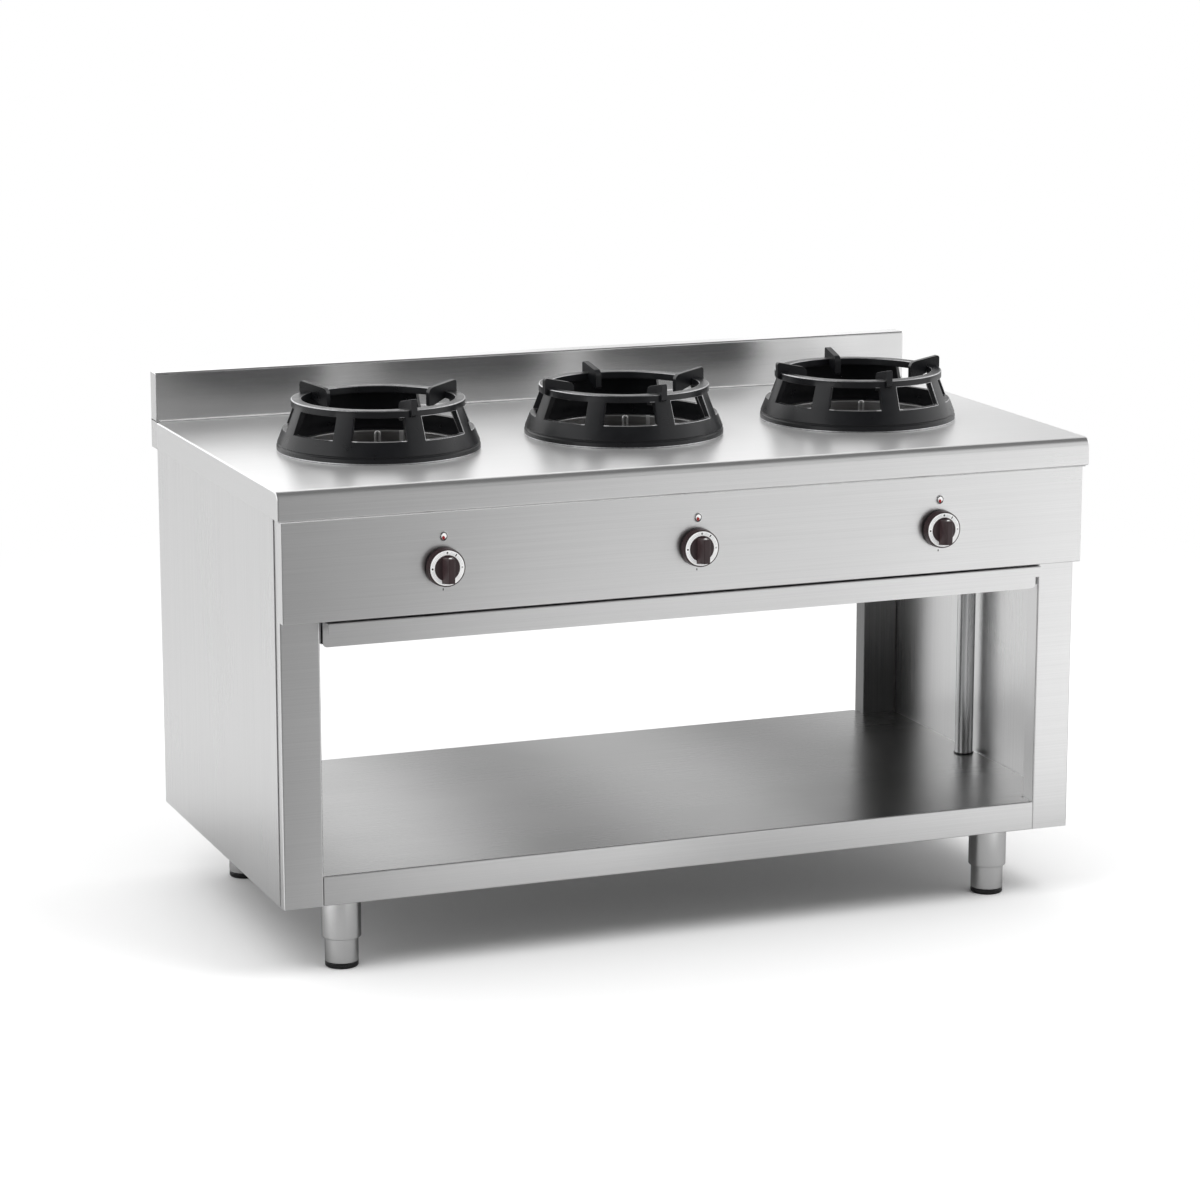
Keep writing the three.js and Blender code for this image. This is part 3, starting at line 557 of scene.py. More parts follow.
def zincMaterial():
    # galvanised sheet with its spangle
    material, tree, shader, place = newMaterial("zinc", 1.0)
    spangle = addNode(tree, "ShaderNodeTexVoronoi", {"feature": "F1"}, {"Vector": place, "Scale": 110.0})
    flake = addNode(tree, "ShaderNodeSeparateColor", None, {"Color": spangle.outputs["Color"]}).outputs[0]
    smudge = placeGroup(tree, smudgeGroup, {"Vector": place, "Size": 12.0})
    tone = mixColor(tree, flake, (0.40, 0.41, 0.42), (0.56, 0.57, 0.58))
    paint(tree, shader, mixColor(tree, smudge["Mask"], tone, (0.45, 0.455, 0.46)), flake, (0.38, 0.55))
    bump(tree, shader, smudge["Height"], 0.05, 0.0003)
    return material


def castMaterial(name, dark, worn, rough, grainSize, specular):
    material, tree, shader, place = newMaterial(name, 0.0, Specular_IOR_Level=specular)
    skin = placeGroup(tree, castGroup, {"Vector": place, "Grain": grainSize})
    # the lighter worn colour on the edges is partly wear, partly a painted highlight along the casting's edges
    wear = placeGroup(tree, wearAndHighlightGroup, {"Vector": place, "From": 0.53, "To": 0.62, "Breakup": 90.0})
    base = mixColor(tree, skin["Tone"], dark, tuple(c * 1.35 for c in dark))
    paint(tree, shader, mixColor(tree, wear["Mask"], base, worn), skin["Tone"], rough)
    bump(tree, shader, skin["Height"], 0.5, 0.0003)
    return material


def smudgedMetal(name, clean, dull, rough, size, peel):
    material, tree, shader, place = newMaterial(name, 1.0)
    smudge = placeGroup(tree, smudgeGroup, {"Vector": place, "Size": size})
    paint(tree, shader, mixColor(tree, smudge["Mask"], clean, dull), smudge["Mask"], rough)
    if peel:
        bump(tree, shader, smudge["Height"], peel, 0.0002)
    return material


def plasticMaterial(name, color, worn, rough, peel=0.04, **constants):
    material, tree, shader, place = newMaterial(name, 0.0, **constants)
    smudge = placeGroup(tree, smudgeGroup, {"Vector": place, "Size": 45.0})
    wear = placeGroup(tree, wearAndHighlightGroup, {"Vector": place, "From": 0.54, "To": 0.66, "Breakup": 200.0})
    base = mixColor(tree, smudge["Mask"], color, tuple(c * 0.86 for c in color))
    paint(tree, shader, mixColor(tree, wear["Mask"], base, worn), smudge["Mask"], rough)
    bump(tree, shader, smudge["Height"], peel, 0.0002)
    return material


panSteel = panSteelMaterial()
zinc = zincMaterial()
castIron = castMaterial(
    "satin cast iron", (0.006, 0.0063, 0.0075), (0.03, 0.03, 0.033), (0.27, 0.37), 900, 0.42)
burnerIron = castMaterial("heated iron", (0.03, 0.027, 0.025), (0.09, 0.085, 0.08), (0.55, 0.75), 700, 0.4)
# partly worn bare metal, partly painted highlight: a lighter metal for the ring's rim edges, window bevels and
# foot, where the edges catch light
groundIronAndHighlight = brushedSteel(
    "ground iron edge and painted highlight", (400, 400, 400), (0.4, 0.4, 0.41), (0.7, 0.7, 0.71), (0.26, 0.36))
# painted highlight: a pale matt finish for the beads that stand in for the light caught at the joints
highlightBeadPaint = plasticMaterial("pale bead, painted highlight", grey(0.7), grey(0.8), (0.45, 0.6), peel=0.1)
brass = smudgedMetal("turned brass", (0.62, 0.44, 0.18), (0.45, 0.31, 0.13), (0.28, 0.42), 60.0, 0.05)
brightTube = smudgedMetal("bright tube", grey(0.86), (0.74, 0.73, 0.72), (0.3, 0.42), 120.0, 0)
zincTube = brushedSteel(
    "bright zinc tube", grainAlongZ, (0.62, 0.625, 0.63), (0.74, 0.745, 0.75), (0.2, 0.3), 0.03)
knobPlastic = plasticMaterial("dark brown plastic", (0.034, 0.019, 0.021), (0.07, 0.045, 0.047), (0.3, 0.42))
printBlack = plasticMaterial("black print", (0.012, 0.012, 0.013), grey(0.02), (0.4, 0.5))
printGrey = plasticMaterial("grey print", (0.42, 0.42, 0.43), grey(0.5), (0.4, 0.5))
dialWhite = plasticMaterial("white dial", (0.95, 0.95, 0.945), (0.95, 0.95, 0.945), (0.3, 0.4))
printPale = plasticMaterial("pale grey print", (0.62, 0.63, 0.65), (0.62, 0.63, 0.65), (0.35, 0.45))
lensWhite = plasticMaterial(
    "white lens", (0.95, 0.945, 0.94), (0.95, 0.945, 0.94), (0.1, 0.18), Coat_Weight=0.6, Coat_Roughness=0.05)
lampRed = plasticMaterial("red lamp", (0.3, 0.006, 0.008), (0.35, 0.02, 0.02), (0.12, 0.2), Coat_Weight=0.5)
padRubber = plasticMaterial("foot rubber", (0.012, 0.012, 0.013), grey(0.03), (0.2, 0.36), peel=0.1)
print("materials made")


# ---- worktop and upstand

worktopShape = {
    "nose": 15 * mm,  # rounded front edge
    "fold": 3 * mm,
    "sheet": 1.5 * mm,
    "return": 7 * mm,
    "panHole": 138 * mm,
    "capRoom": 1.8 * mm,  # slot beside the upstand's end caps
}


def makeWorktop():
    shape = worktopShape
    low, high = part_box("worktop")
    bm = boxMesh(low, high)
    bevelEdges(bm, edgesAt(bm, y=low.y, z=high.z), shape["nose"], 14)
    bevelEdges(bm, sharpEdges(bm), shape["fold"], 4)
    hemmed(bm, shape["return"] - shape["fold"], shape["sheet"])
    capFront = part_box("upstand")[0].y
    tools = None
    for name in burnerNames:
        centre = middleOf("wok_ring_" + name)
        place = Matrix.Translation((centre.x, centre.y, high.z))
        tools = added(tools, cylinder(shape["panHole"], 40 * mm, 96, place))
    for side in (-1, 1):
        room = [side * (high.x - shape["capRoom"]), side * (high.x + 5 * mm)]
        slotLow = (min(room), capFront - 0.3 * mm, low.z - 1 * mm)
        slotHigh = (max(room), high.y + 5 * mm, high.z + 1 * mm)
        tools = added(tools, boxMesh(slotLow, slotHigh))
    bm = cutAway(bm, tools)
    # upward faces take the lighter copy, painted light from above; the rest stay plain sheet steel
    for face in bm.faces:
        face.material_index = 0 if face.normal.z > 0.9 else 1
    piece = finished("worktop_sheet", bm, topLitSteel, "root", ["worktop"])
    piece.data.materials.append(sheetSteel)


upstandShape = {
    "frontFold": 4 * mm,
    "fold": 2 * mm,
    "sheet": 1.5 * mm,
    "footLine": 12 * mm,  # fold line above the worktop
    "footBack": 0.8 * mm,  # foot strip behind the face
}


def makeUpstand():
    shape = upstandShape
    low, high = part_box("upstand")
    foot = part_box("worktop")[1].z + 0.3 * mm
    bm = boxMesh((low.x, low.y, foot), high)
    bevelEdges(bm, edgesAt(bm, y=low.y, z=high.z), shape["frontFold"], 6)
    folds = [e for e in sharpEdges(bm) if
             min(v.co.z for v in e.verts) > foot + 1 * mm or reach(e, "z") > 10 * mm]
    bevelEdges(bm, folds, shape["fold"], 3)
    bmesh.ops.bisect_plane(
        bm, geom=bm.faces[:] + bm.edges[:] + bm.verts[:],
        plane_co=(0, 0, foot + shape["footLine"]), plane_no=(0, 0, 1),
    )
    opened(bm, facing(bm, "z", -1))
    for vert in bm.verts:
        if vert.co.z < foot + 1 * mm and vert.co.y < low.y + 1 * mm:
            vert.co.y += shape["footBack"]
    thicken(bm, shape["sheet"])
    for side in (-1, 1):
        face = [side * (high.x - shape["sheet"]), side * high.x]
        cap = boxMesh((min(face), low.y, low.z), (max(face), high.y, foot + 2 * mm))
        bevelEdges(cap, sharpEdges(cap), 0.4 * mm, 2)
        bm = added(bm, cap)
    finished("upstand_sheet", bm, upstandSteel, "root", ["upstand"])


makeWorktop()
makeUpstand()
print("worktop and upstand made")


# ---- cabinet

panelShape = {"fold": 2.2 * mm, "sheet": 1.5 * mm, "spindleHole": 6 * mm, "lampHole": 5.3 * mm}


def makeControlPanel():
    shape = panelShape
    low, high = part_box("control_panel")
    bm = boxMesh(low, high)
    bevelEdges(bm, sharpEdges(bm), shape["fold"], 4)
    opened(bm, facing(bm, "y", 1))
    thicken(bm, shape["sheet"])
    tools = None
    quarter = Matrix.Rotation(math.radians(90), 4, "X")
    for name in burnerNames:
        for node, radius in (("knob_", shape["spindleHole"]), ("indicator_", shape["lampHole"])):
            centre = middleOf(node + name)
            place = Matrix.Translation((centre.x, low.y, centre.z)) @ quarter
            tools = added(tools, cylinder(radius, 12 * mm, 32, place))
    bm = cutAway(bm, tools)
    finished("control_panel_sheet", bm, sheetSteel, "root", ["control_panel"])


postShape = {"corner": 3 * mm, "wall": 1.5 * mm, "openEnd": 40 * mm}


def makePost(node):
    shape = postShape
    low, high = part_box(node)
    bm = boxMesh(low, high)
    bevelEdges(bm, [e for e in bm.edges if reach(e, "z") > 0.1], shape["corner"], 5)
    ends = [f for f in bm.faces if abs(f.normal.z) > 0.99]
    bmesh.ops.inset_individual(bm, faces=ends, thickness=shape["wall"], depth=0)
    for face in [f for f in bm.faces if abs(f.normal.z) > 0.99 and len(f.verts) > 4]:
        inwards = -shape["openEnd"] * face.normal.z
        grown = bmesh.ops.extrude_discrete_faces(bm, faces=[face])["faces"]
        bmesh.ops.translate(bm, verts=grown[0].verts[:], vec=(0, 0, inwards))
    # the rear posts take the dark copy, a painted shade
    steel = rearShadeSteel if "rear" in node else sheetSteel
    finished(node + "_tube", tidied(bm), steel, "root", [node])


def makeSheet(node, material):
    # a flat sheet with its edges broken
    bm = boxMesh(*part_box(node))
    bevelEdges(bm, sharpEdges(bm), 0.5 * mm, 2)
    finished(node + "_sheet", bm, material, "root", [node])


screwShape = {"head": 4.2 * mm, "rise": 1.6 * mm, "across": 9, "upright": 3, "margin": 12 * mm}


def makeRearScrews():
    # pan-head screws round the rear panel's edge
    shape = screwShape
    low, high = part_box("rear_panel")
    left, right = low.x + shape["margin"], high.x - shape["margin"]
    bottom, top = low.z + shape["margin"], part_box("worktop")[0].z - shape["margin"]
    places = []
    for i in range(shape["across"]):
        x = left + (right - left) * i / (shape["across"] - 1)
        places += [(x, bottom), (x, top)]
    for i in range(1, shape["upright"]):
        z = bottom + (top - bottom) * i / shape["upright"]
        places += [(left, z), (right, z)]
    head = [(0, 0, 0), (shape["head"], 0, 0), (shape["head"], shape["rise"], 1.2 * mm), (0, shape["rise"], 0)]
    bm = None
    backwards = Matrix.Rotation(math.radians(-90), 4, "X")
    for x, z in places:
        bm = added(bm, turned(head, 3, 16), Matrix.Translation((x, high.y, z)) @ backwards)
    finished("rear_panel_screws", bm, zinc, "root")


shelfShape = {"fold": 3 * mm, "hem": 1.5 * mm, "return": 10 * mm, "sheet": 1.5 * mm, "seat": 0.3 * mm}


def makeShelf():
    # a folded pan with its corners notched round the posts
    shape = shelfShape
    low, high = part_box("bottom_shelf")
    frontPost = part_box("post_front_right")
    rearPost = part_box("post_rear_right")
    narrow = frontPost[0].x - shape["seat"]
    frontNotch = frontPost[1].y + shape["seat"]
    backNotch = rearPost[0].y - shape["seat"]
    right = [
        (narrow, low.y), (narrow, frontNotch), (high.x, frontNotch),
        (high.x, backNotch), (narrow, backNotch), (narrow, high.y),
    ]
    outline = right + [(-x, y) for x, y in reversed(right)]
    bm = slab([(x, y, high.z) for x, y in outline], (0, 0, low.z - high.z))
    bevelEdges(bm, edgesAt(bm, z=high.z), shape["fold"], 5)
    bevelEdges(bm, edgesAt(bm, z=low.z), shape["hem"], 3)
    hemmed(bm, shape["return"] - shape["hem"], shape["sheet"])
    # the shelf's large top face takes the darker copy, a painted shade
    for face in bm.faces:
        face.material_index = 1 if face.normal.z > 0.99 and face.calc_area() > wideFace else 0
    pan = finished("bottom_shelf_pan", bm, sheetSteel, "root", ["bottom_shelf"])
    pan.data.materials.append(shelfShadeSteel)


def makeStiffener():
    low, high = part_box("shelf_stiffener")
    bm = boxMesh(low, high)
    folds = [e for e in edgesAt(bm, z=high.z) if reach(e, "x") > 0.5]
    opened(bm, [f for f in bm.faces if f.normal.z < -0.99 or abs(f.normal.x) > 0.99])
    bevelEdges(bm, folds, 4 * mm, 4)
    thicken(bm, 3 * mm)
    finished("shelf_stiffener_channel", bm, zinc, "root", ["shelf_stiffener"])


highlightBeadShape = {"height": 2.8 * mm, "depth": 3 * mm, "edge": 1.1 * mm, "footHeight": 3 * mm}


def makeHighlightBeads():
    # pale beads under the worktop's front edge and along the upstand's foot, a painted highlight: they stand in
    # for the light that the folds at these joints catch
    shape = highlightBeadShape
    low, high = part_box("worktop")
    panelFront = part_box("control_panel")[0].y
    top = low.z - 0.2 * mm
    bm = boxMesh(
        (low.x + 4 * mm, panelFront - shape["depth"], top - shape["height"]),
        (high.x - 4 * mm, panelFront + 0.2 * mm, top),
    )
    upLow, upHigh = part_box("upstand")
    foot = boxMesh(
        (upLow.x + 6 * mm, upLow.y - shape["depth"], high.z + 0.15 * mm),
        (upHigh.x - 6 * mm, upLow.y + 1 * mm, high.z + shape["footHeight"]),
    )
    bm = added(bm, foot)
    bevelEdges(bm, sharpEdges(bm), shape["edge"], 4)
    finished("worktop_highlight_beads", bm, highlightBeadPaint, "root")


makeControlPanel()
makeHighlightBeads()
for corner in cornerNames:
    makePost("post_" + corner)
for side in ("left", "right"):
    makeSheet("side_panel_" + side, sideSteel)
makeSheet("rear_panel", sheetSteel)
makeRearScrews()
makeShelf()
makeStiffener()
print("cabinet made")


# ---- drip tray and runners

trayShape = {
    "sheet": 1.5 * mm,
    "lipHeight": 19 * mm,
    "lipInset": 3 * mm,
    "lipCorner": 4 * mm,
    "corner": 8 * mm,
    "fold": 2.5 * mm,
    "bodyInset": 1.8 * mm,  # tray body inside the front plate
    "bodyCorner": 5 * mm,
    "bodyTop": 1.5 * mm,
    "bodyHeight": 36 * mm,
}


def makeDripTray():
    shape = trayShape
    low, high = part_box("drip_tray")
    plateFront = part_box("post_front_left")[0].y
    # front plate, a sheet with round lower corners
    plate = bmesh.new()
    corners = [(low.x, low.z), (high.x, low.z), (high.x, high.z - 1 * mm), (low.x, high.z - 1 * mm)]
    plate.faces.new([plate.verts.new((x, plateFront, z)) for x, z in corners])
    lower = [v for v in plate.verts if v.co.z < low.z + 1 * mm]
    bevelEdges(plate, lower, shape["corner"], 8, "VERTICES")
    bmesh.ops.solidify(plate, geom=plate.faces[:], thickness=shape["sheet"])
    for vert in plate.verts:
        vert.co.y = plateFront if abs(vert.co.y - plateFront) < 1e-5 else plateFront + shape["sheet"]
    bevelEdges(plate, sharpEdges(plate, 60), 0.4 * mm, 2)
    bm = tidied(plate)
    # pulling lip, folded forwards and down
    half = high.x - shape["lipInset"]
    side = rounded([
        (low.y, high.z - shape["lipHeight"], 0), (low.y, high.z, shape["fold"]),
        (plateFront + shape["sheet"], high.z, 0),
    ], 5, False)
    lip = strip([(-half, y, z) for y, z in side], (2 * half, 0, 0))
    hanging = [v for v in lip.verts if v.co.z < high.z - shape["lipHeight"] + 1 * mm]
    bevelEdges(lip, hanging, shape["lipCorner"], 5, "VERTICES")
    bmesh.ops.recalc_face_normals(lip, faces=lip.faces)
    if sum(f.normal.z for f in lip.faces) < 0:
        bmesh.ops.reverse_faces(lip, faces=lip.faces)
    bmesh.ops.solidify(lip, geom=lip.faces[:], thickness=shape["sheet"])
    bm = added(bm, lip)
    # tray body, open above
    inner = high.x - shape["bodyInset"]
    top = high.z - shape["bodyTop"]
    body = boxMesh((-inner, plateFront + 0.2 * mm, top - shape["bodyHeight"]), (inner, high.y, top))
    folds = [e for e in sharpEdges(body) if
             max(v.co.z for v in e.verts) < top - 1 * mm or reach(e, "z") > 10 * mm]
    bevelEdges(body, folds, shape["bodyCorner"], 5)
    opened(body, facing(body, "z", 1))
    thicken(body, shape["sheet"])
    bm = added(bm, body)
    finished("drip_tray_sheet", bm, sheetSteel, "tray", ["drip_tray"])


def makeRunner(side, sign):
    # an angle with a rounded fold
    node = "tray_runner_" + side
    low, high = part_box(node)
    outer, inner = (low.x, high.x) if sign < 0 else (high.x, low.x)
    profile = rounded([(inner, low.z, 0), (outer, low.z, 2.5 * mm), (outer, high.z, 0)], 4, False)
    bm = strip([(x, low.y, z) for x, z in profile], (0, high.y - low.y, 0))
    bmesh.ops.recalc_face_normals(bm, faces=bm.faces)
    wall = max(bm.faces, key=lambda f: abs(f.normal.x))
    if wall.normal.x * sign < 0:
        bmesh.ops.reverse_faces(bm, faces=bm.faces)
    bmesh.ops.solidify(bm, geom=bm.faces[:], thickness=1.5 * mm)
    finished(node + "_angle", bm, zinc, "root", [node])


makeDripTray()
makeRunner("left", -1)
makeRunner("right", 1)
print("drip tray made")


# ---- legs and feet

legShape = {
    "sleeve": 34 * mm,
    "sleeveBore": 29.3 * mm,
    "sleeveEdge": 3 * mm,
    "plate": 3 * mm,
    "foot": 29 * mm,
    "footWall": 3 * mm,
    "footEdge": 2 * mm,
    "padEdge": 3 * mm,
}


def makeLeg(place):
    shape = legShape
    node = "leg_" + place
    low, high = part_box(node)
    centre = middleOf(node)
    under = (centre.x, centre.y, 0)
    wall = [
        (shape["sleeveBore"], low.z, 0.5 * mm), (shape["sleeve"], low.z, shape["sleeveEdge"]),
        (shape["sleeve"], high.z - shape["plate"], 0), (shape["sleeveBore"], high.z - shape["plate"], 0),
    ]
    bm = shifted(turned(wall, 5, 72, True), under)
    plate = boxMesh((low.x, low.y, high.z - shape["plate"]), high)
    bevelEdges(plate, sharpEdges(plate), 0.6 * mm, 2)
    finished(node + "_sleeve", added(bm, plate), tubeSteel, "root", [node])

    body = "level_" + place
    node = "foot_" + place
    low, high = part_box(node)
    tube = [
        (0, low.z, 0), (shape["foot"], low.z, shape["footEdge"]), (shape["foot"], high.z, 0.5 * mm),
        (shape["foot"] - shape["footWall"], high.z, 0.5 * mm),
        (shape["foot"] - shape["footWall"], low.z + 4 * mm, 1 * mm), (0, low.z + 4 * mm, 0),
    ]
    bm = shifted(turned(tube, 4, 72), under)
    finished(node + "_tube", bm, tubeSteel, body, [node])

    node = "foot_pad_" + place
    low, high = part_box(node)
    pad = [
        (0, low.z, 0), (shape["foot"], low.z, shape["padEdge"]),
        (shape["foot"], high.z, 0.8 * mm), (0, high.z, 0),
    ]
    bm = shifted(turned(pad, 4, 72), under)
    finished(node + "_rubber", bm, padRubber, body, [node])


for corner in cornerNames:
    makeLeg(corner)
print("legs and feet made")


# ---- gas line

gasShape = {
    "pipe": 17 * mm,
    "pipeBend": 34 * mm,
    "feed": 10 * mm,
    "feedBend": 40 * mm,
    "spigot": 9 * mm,
    "valve": 15 * mm,
    "grommet": 2.5 * mm,
}


def makeGasLine():
    shape = gasShape
    low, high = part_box("gas_manifold")
    line = middleOf("gas_manifold")
    height = low.z + shape["pipe"]
    bm = pipeRun((low.x, line.y, height), (1, 0, 0), shape["pipe"], [("run", high.x - low.x)], 32)
    for name in burnerNames:
        x = middleOf("knob_" + name).x
        bm = pipeRun((x, line.y, height), (0, 0, 1), shape["spigot"], [("run", high.z - height)], 20, bm=bm)
    finished("gas_manifold_pipe", bm, zinc, "root", ["gas_manifold"])

    low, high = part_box("gas_supply_pipe")
    bend = shape["pipeBend"]
    x, y = high.x - shape["pipe"], high.y - shape["pipe"]
    moves = [
        ("run", x - bend - low.x), ("bend", (0, 1, 0), bend), ("run", y - line.y - 2 * bend),
        ("bend", (0, 0, -1), bend), ("run", height - bend - low.z),
    ]
    bm = pipeRun((low.x, line.y, height), (1, 0, 0), shape["pipe"], moves, 40, 14)
    finished("gas_supply_tube", bm, zincTube, "root", ["gas_supply_pipe"])

    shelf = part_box("bottom_shelf")[1].z
    inner, bottom, top = shape["pipe"] + 0.1 * mm, shelf + 0.1 * mm, shelf + 2.5 * mm
    ring = [
        (inner, bottom, 0), (shape["pipe"] + shape["grommet"], bottom, 1 * mm),
        (shape["pipe"] + 1.5 * mm, top, 0.6 * mm), (inner, top, 0),
    ]
    bm = shifted(turned(ring, 4, 48, True), (x, y, 0))
    finished("gas_pipe_grommet", bm, padRubber, "root")


def makeFeedAndValve(name):
    shape = gasShape
    node = "burner_feed_" + name
    low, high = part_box(node)
    x = middleOf(node).x
    axis = low.z + shape["feed"]
    bend = shape["feedBend"]
    centreY = high.y - shape["feed"]
    moves = [("run", centreY - bend - low.y), ("bend", (0, 0, 1), bend), ("run", high.z - axis - bend)]
    bm = pipeRun((x, low.y, axis), (0, 1, 0), shape["feed"], moves, 24)
    finished(node + "_pipe", bm, zinc, "root", [node])

    node = "gas_valve_" + name
    low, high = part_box(node)
    length = high.y - low.y
    barrel = [
        (0, 0, 0), (shape["valve"] - 3 * mm, 0, 1 * mm), (shape["valve"] - 3 * mm, 14 * mm, 0),
        (shape["valve"], 14 * mm, 1 * mm), (shape["valve"], length - 10 * mm, 1 * mm),
        (8 * mm, length - 10 * mm, 0), (8 * mm, length, 0.6 * mm), (0, length, 0),
    ]
    bm = turned(barrel, 3, 40)
    bm.transform(Matrix.Translation((x, low.y, axis)) @ Matrix.Rotation(math.radians(-90), 4, "X"))
    line = middleOf("gas_manifold").y
    bm = pipeRun((x, line, low.z), (0, 0, 1), shape["spigot"], [("run", axis - low.z)], 6, bm=bm)
    finished(node + "_body", bm, brass, "root", [node])
    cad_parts["valve_spindle_" + name].material_slots[0].material = brass


makeGasLine()
for name in burnerNames:
    makeFeedAndValve(name)
print("gas line made")


# ---- burners: each piece is built about its burner's centre on the worktop

ringShape = {
    "foot": 178 * mm,
    "footHeight": 9 * mm,
    "groove": 2.5 * mm,
    "coneFoot": 14 * mm,
    "top": 152 * mm,
    "hole": 134 * mm,
    "height": 90 * mm,
    "rim": 13 * mm,  # depth of the flat band
    "wall": 11 * mm,
    "sill": 38 * mm,
    "steps": 120,
    "windowSteps": 11,
    "windowPitch": 45,  # degrees
    "footHighlightBand": 2.6 * mm,  # lighter metal at the foot: partly rubbed where it stands, partly a painted highlight
    "turns": {"left": 5, "middle": 5, "right": -4},  # degrees, as they stand
    "windowEdge": 1.1 * mm,
}

lugShape = {
    # degrees from the front lug
    "places": {"left": (0, 98, 216), "middle": (0, 90, 180, 270), "right": (0, 90, 180, 270)},
    "thickness": 11 * mm,
    "overhang": 6 * mm,
    "rise": 19 * mm,
    "tongue": 10 * mm,
    "reach": 33 * mm,
    "innerRise": 7 * mm,
    "drop": 28 * mm,
    "corner": 4 * mm,
    "nose": 12 * mm,  # rounded top of the inner end
    "edge": 1.6 * mm,
}


def ringBody():
    shape = ringShape
    head = shape["height"] - shape["rim"]
    foot = shape["foot"]
    slope = (shape["top"] - foot + 1 * mm) / (head - shape["coneFoot"])
    outerSill = foot - 1 * mm + slope * (shape["sill"] - shape["coneFoot"])
    innerHead = shape["top"] - shape["wall"] - 0.5 * mm
    innerFoot = foot - shape["wall"]
    innerSlope = (innerHead - innerFoot) / (head - shape["coneFoot"])
    innerSill = innerFoot + innerSlope * (shape["sill"] - shape["coneFoot"])
    bm = turned([
        (foot, 0.3 * mm, 0.8 * mm), (foot, shape["footHighlightBand"], 0), (foot, shape["footHeight"], 1.6 * mm),
        (foot - shape["groove"], shape["footHeight"] + shape["groove"], 1 * mm),
        (foot - 1 * mm, shape["coneFoot"], 1 * mm),
        (outerSill, shape["sill"], 0), (shape["top"], head, 0), (shape["top"], shape["height"], 1.8 * mm),
        (shape["hole"], shape["height"], 1.4 * mm), (shape["hole"], head, 1 * mm), (innerHead, head, 0),
        (innerSill, shape["sill"], 0), (innerFoot, shape["coneFoot"], 0), (innerFoot, 0.3 * mm, 0.8 * mm),
    ], 3, shape["steps"], True)
    # windows: three on each side of the front lug
    half = 180 * shape["windowSteps"] / shape["steps"]
    middles = [side * (i + 0.5) * shape["windowPitch"] - 90 for i in range(3) for side in (-1, 1)]

    def windowOf(point):
        angle = math.degrees(math.atan2(point.y, point.x))
        for middle in middles:
            away = (angle - middle + 180) % 360 - 180
            if abs(away) < half + 0.1:
                return middle
        return None

    openings = []
    for face in bm.faces:
        centre = face.calc_center_median()
        if shape["sill"] < centre.z < head - 0.2 * mm and windowOf(centre) is not None:
            openings.append(face)
    opened(bm, openings)
    for middle in middles:
        loops = [e for e in bm.edges if e.is_boundary and
                 windowOf((e.verts[0].co + e.verts[1].co) / 2) == middle]
        bmesh.ops.bridge_loops(bm, edges=loops)
    bmesh.ops.recalc_face_normals(bm, faces=bm.faces)
    rims = [e for e in sharpEdges(bm, 55) if
            all(shape["sill"] - 0.1 * mm < v.co.z < head + 0.1 * mm for v in e.verts) and
            windowOf((e.verts[0].co + e.verts[1].co) / 2) is not None]
    before = len(bm.faces)
    bevelEdges(bm, rims, shape["windowEdge"], 2)
    bm.faces.ensure_lookup_table()
    worn = set(bm.faces[before:])
    # rim edges, window bevels and the foot band take the lighter ground iron: partly bare wear, partly a
    # painted highlight
    for face in bm.faces:
        middle = face.calc_center_median()
        radius = math.hypot(middle.x, middle.y)
        onTop = middle.z > shape["height"] - 1.9 * mm
        rim = onTop and not shape["hole"] + 1.5 * mm < radius < shape["top"] - 1.9 * mm
        rubbedAndHighlit = middle.z < shape["footHighlightBand"] and radius > foot - 0.9 * mm
        bevelled = face in worn and face.calc_area() < shape["windowEdge"] * 60 * mm
        face.material_index = 1 if rim or rubbedAndHighlit or bevelled else 0
    return bm


def ringLugs(bm, places):
    ring, shape = ringShape, lugShape
    low = ring["height"] - ring["rim"]
    outer = ring["top"] + shape["overhang"]
    inner = ring["hole"] - shape["reach"]
    top = ring["height"] + shape["innerRise"]
    bottom = ring["height"] - shape["drop"]
    outline = rounded([
        (ring["top"] - 1 * mm, low, 0), (outer, ring["height"] - shape["tongue"], 1.5 * mm),
        (outer, ring["height"] + shape["rise"], shape["corner"]), (inner, top, shape["nose"]),
        (inner, bottom, shape["corner"]), (ring["hole"] + 1 * mm, low + 1 * mm, 0),
        (ring["top"] - 1 * mm, low + 1 * mm, 0),
    ], 4)
    for place in places:
        lug = prism(outline, shape["thickness"], shape["edge"])
        bm = added(bm, lug, Matrix.Rotation(math.radians(place - 90), 4, "Z"))
    return bm


def makeRings():
    for name in burnerNames:
        turn = Matrix.Rotation(math.radians(ringShape["turns"][name]), 4, "Z")
        bm = ringLugs(ringBody(), lugShape["places"][name])
        bm.transform(Matrix.Translation(burnerPlace(name)) @ turn)
        node = "wok_ring_" + name
        casting = finished(node + "_casting", bm, castIron, "ring_" + name, [node])
        casting.data.materials.append(groundIronAndHighlight)


panShape = {
    "wall": 136.5 * mm,
    "rim": 150 * mm,
    "rimHeight": 10 * mm,
    "depth": 56 * mm,
    "floorInset": 16.5 * mm,
    "opening": 83.9 * mm,
    "sheet": 1.5 * mm,
}


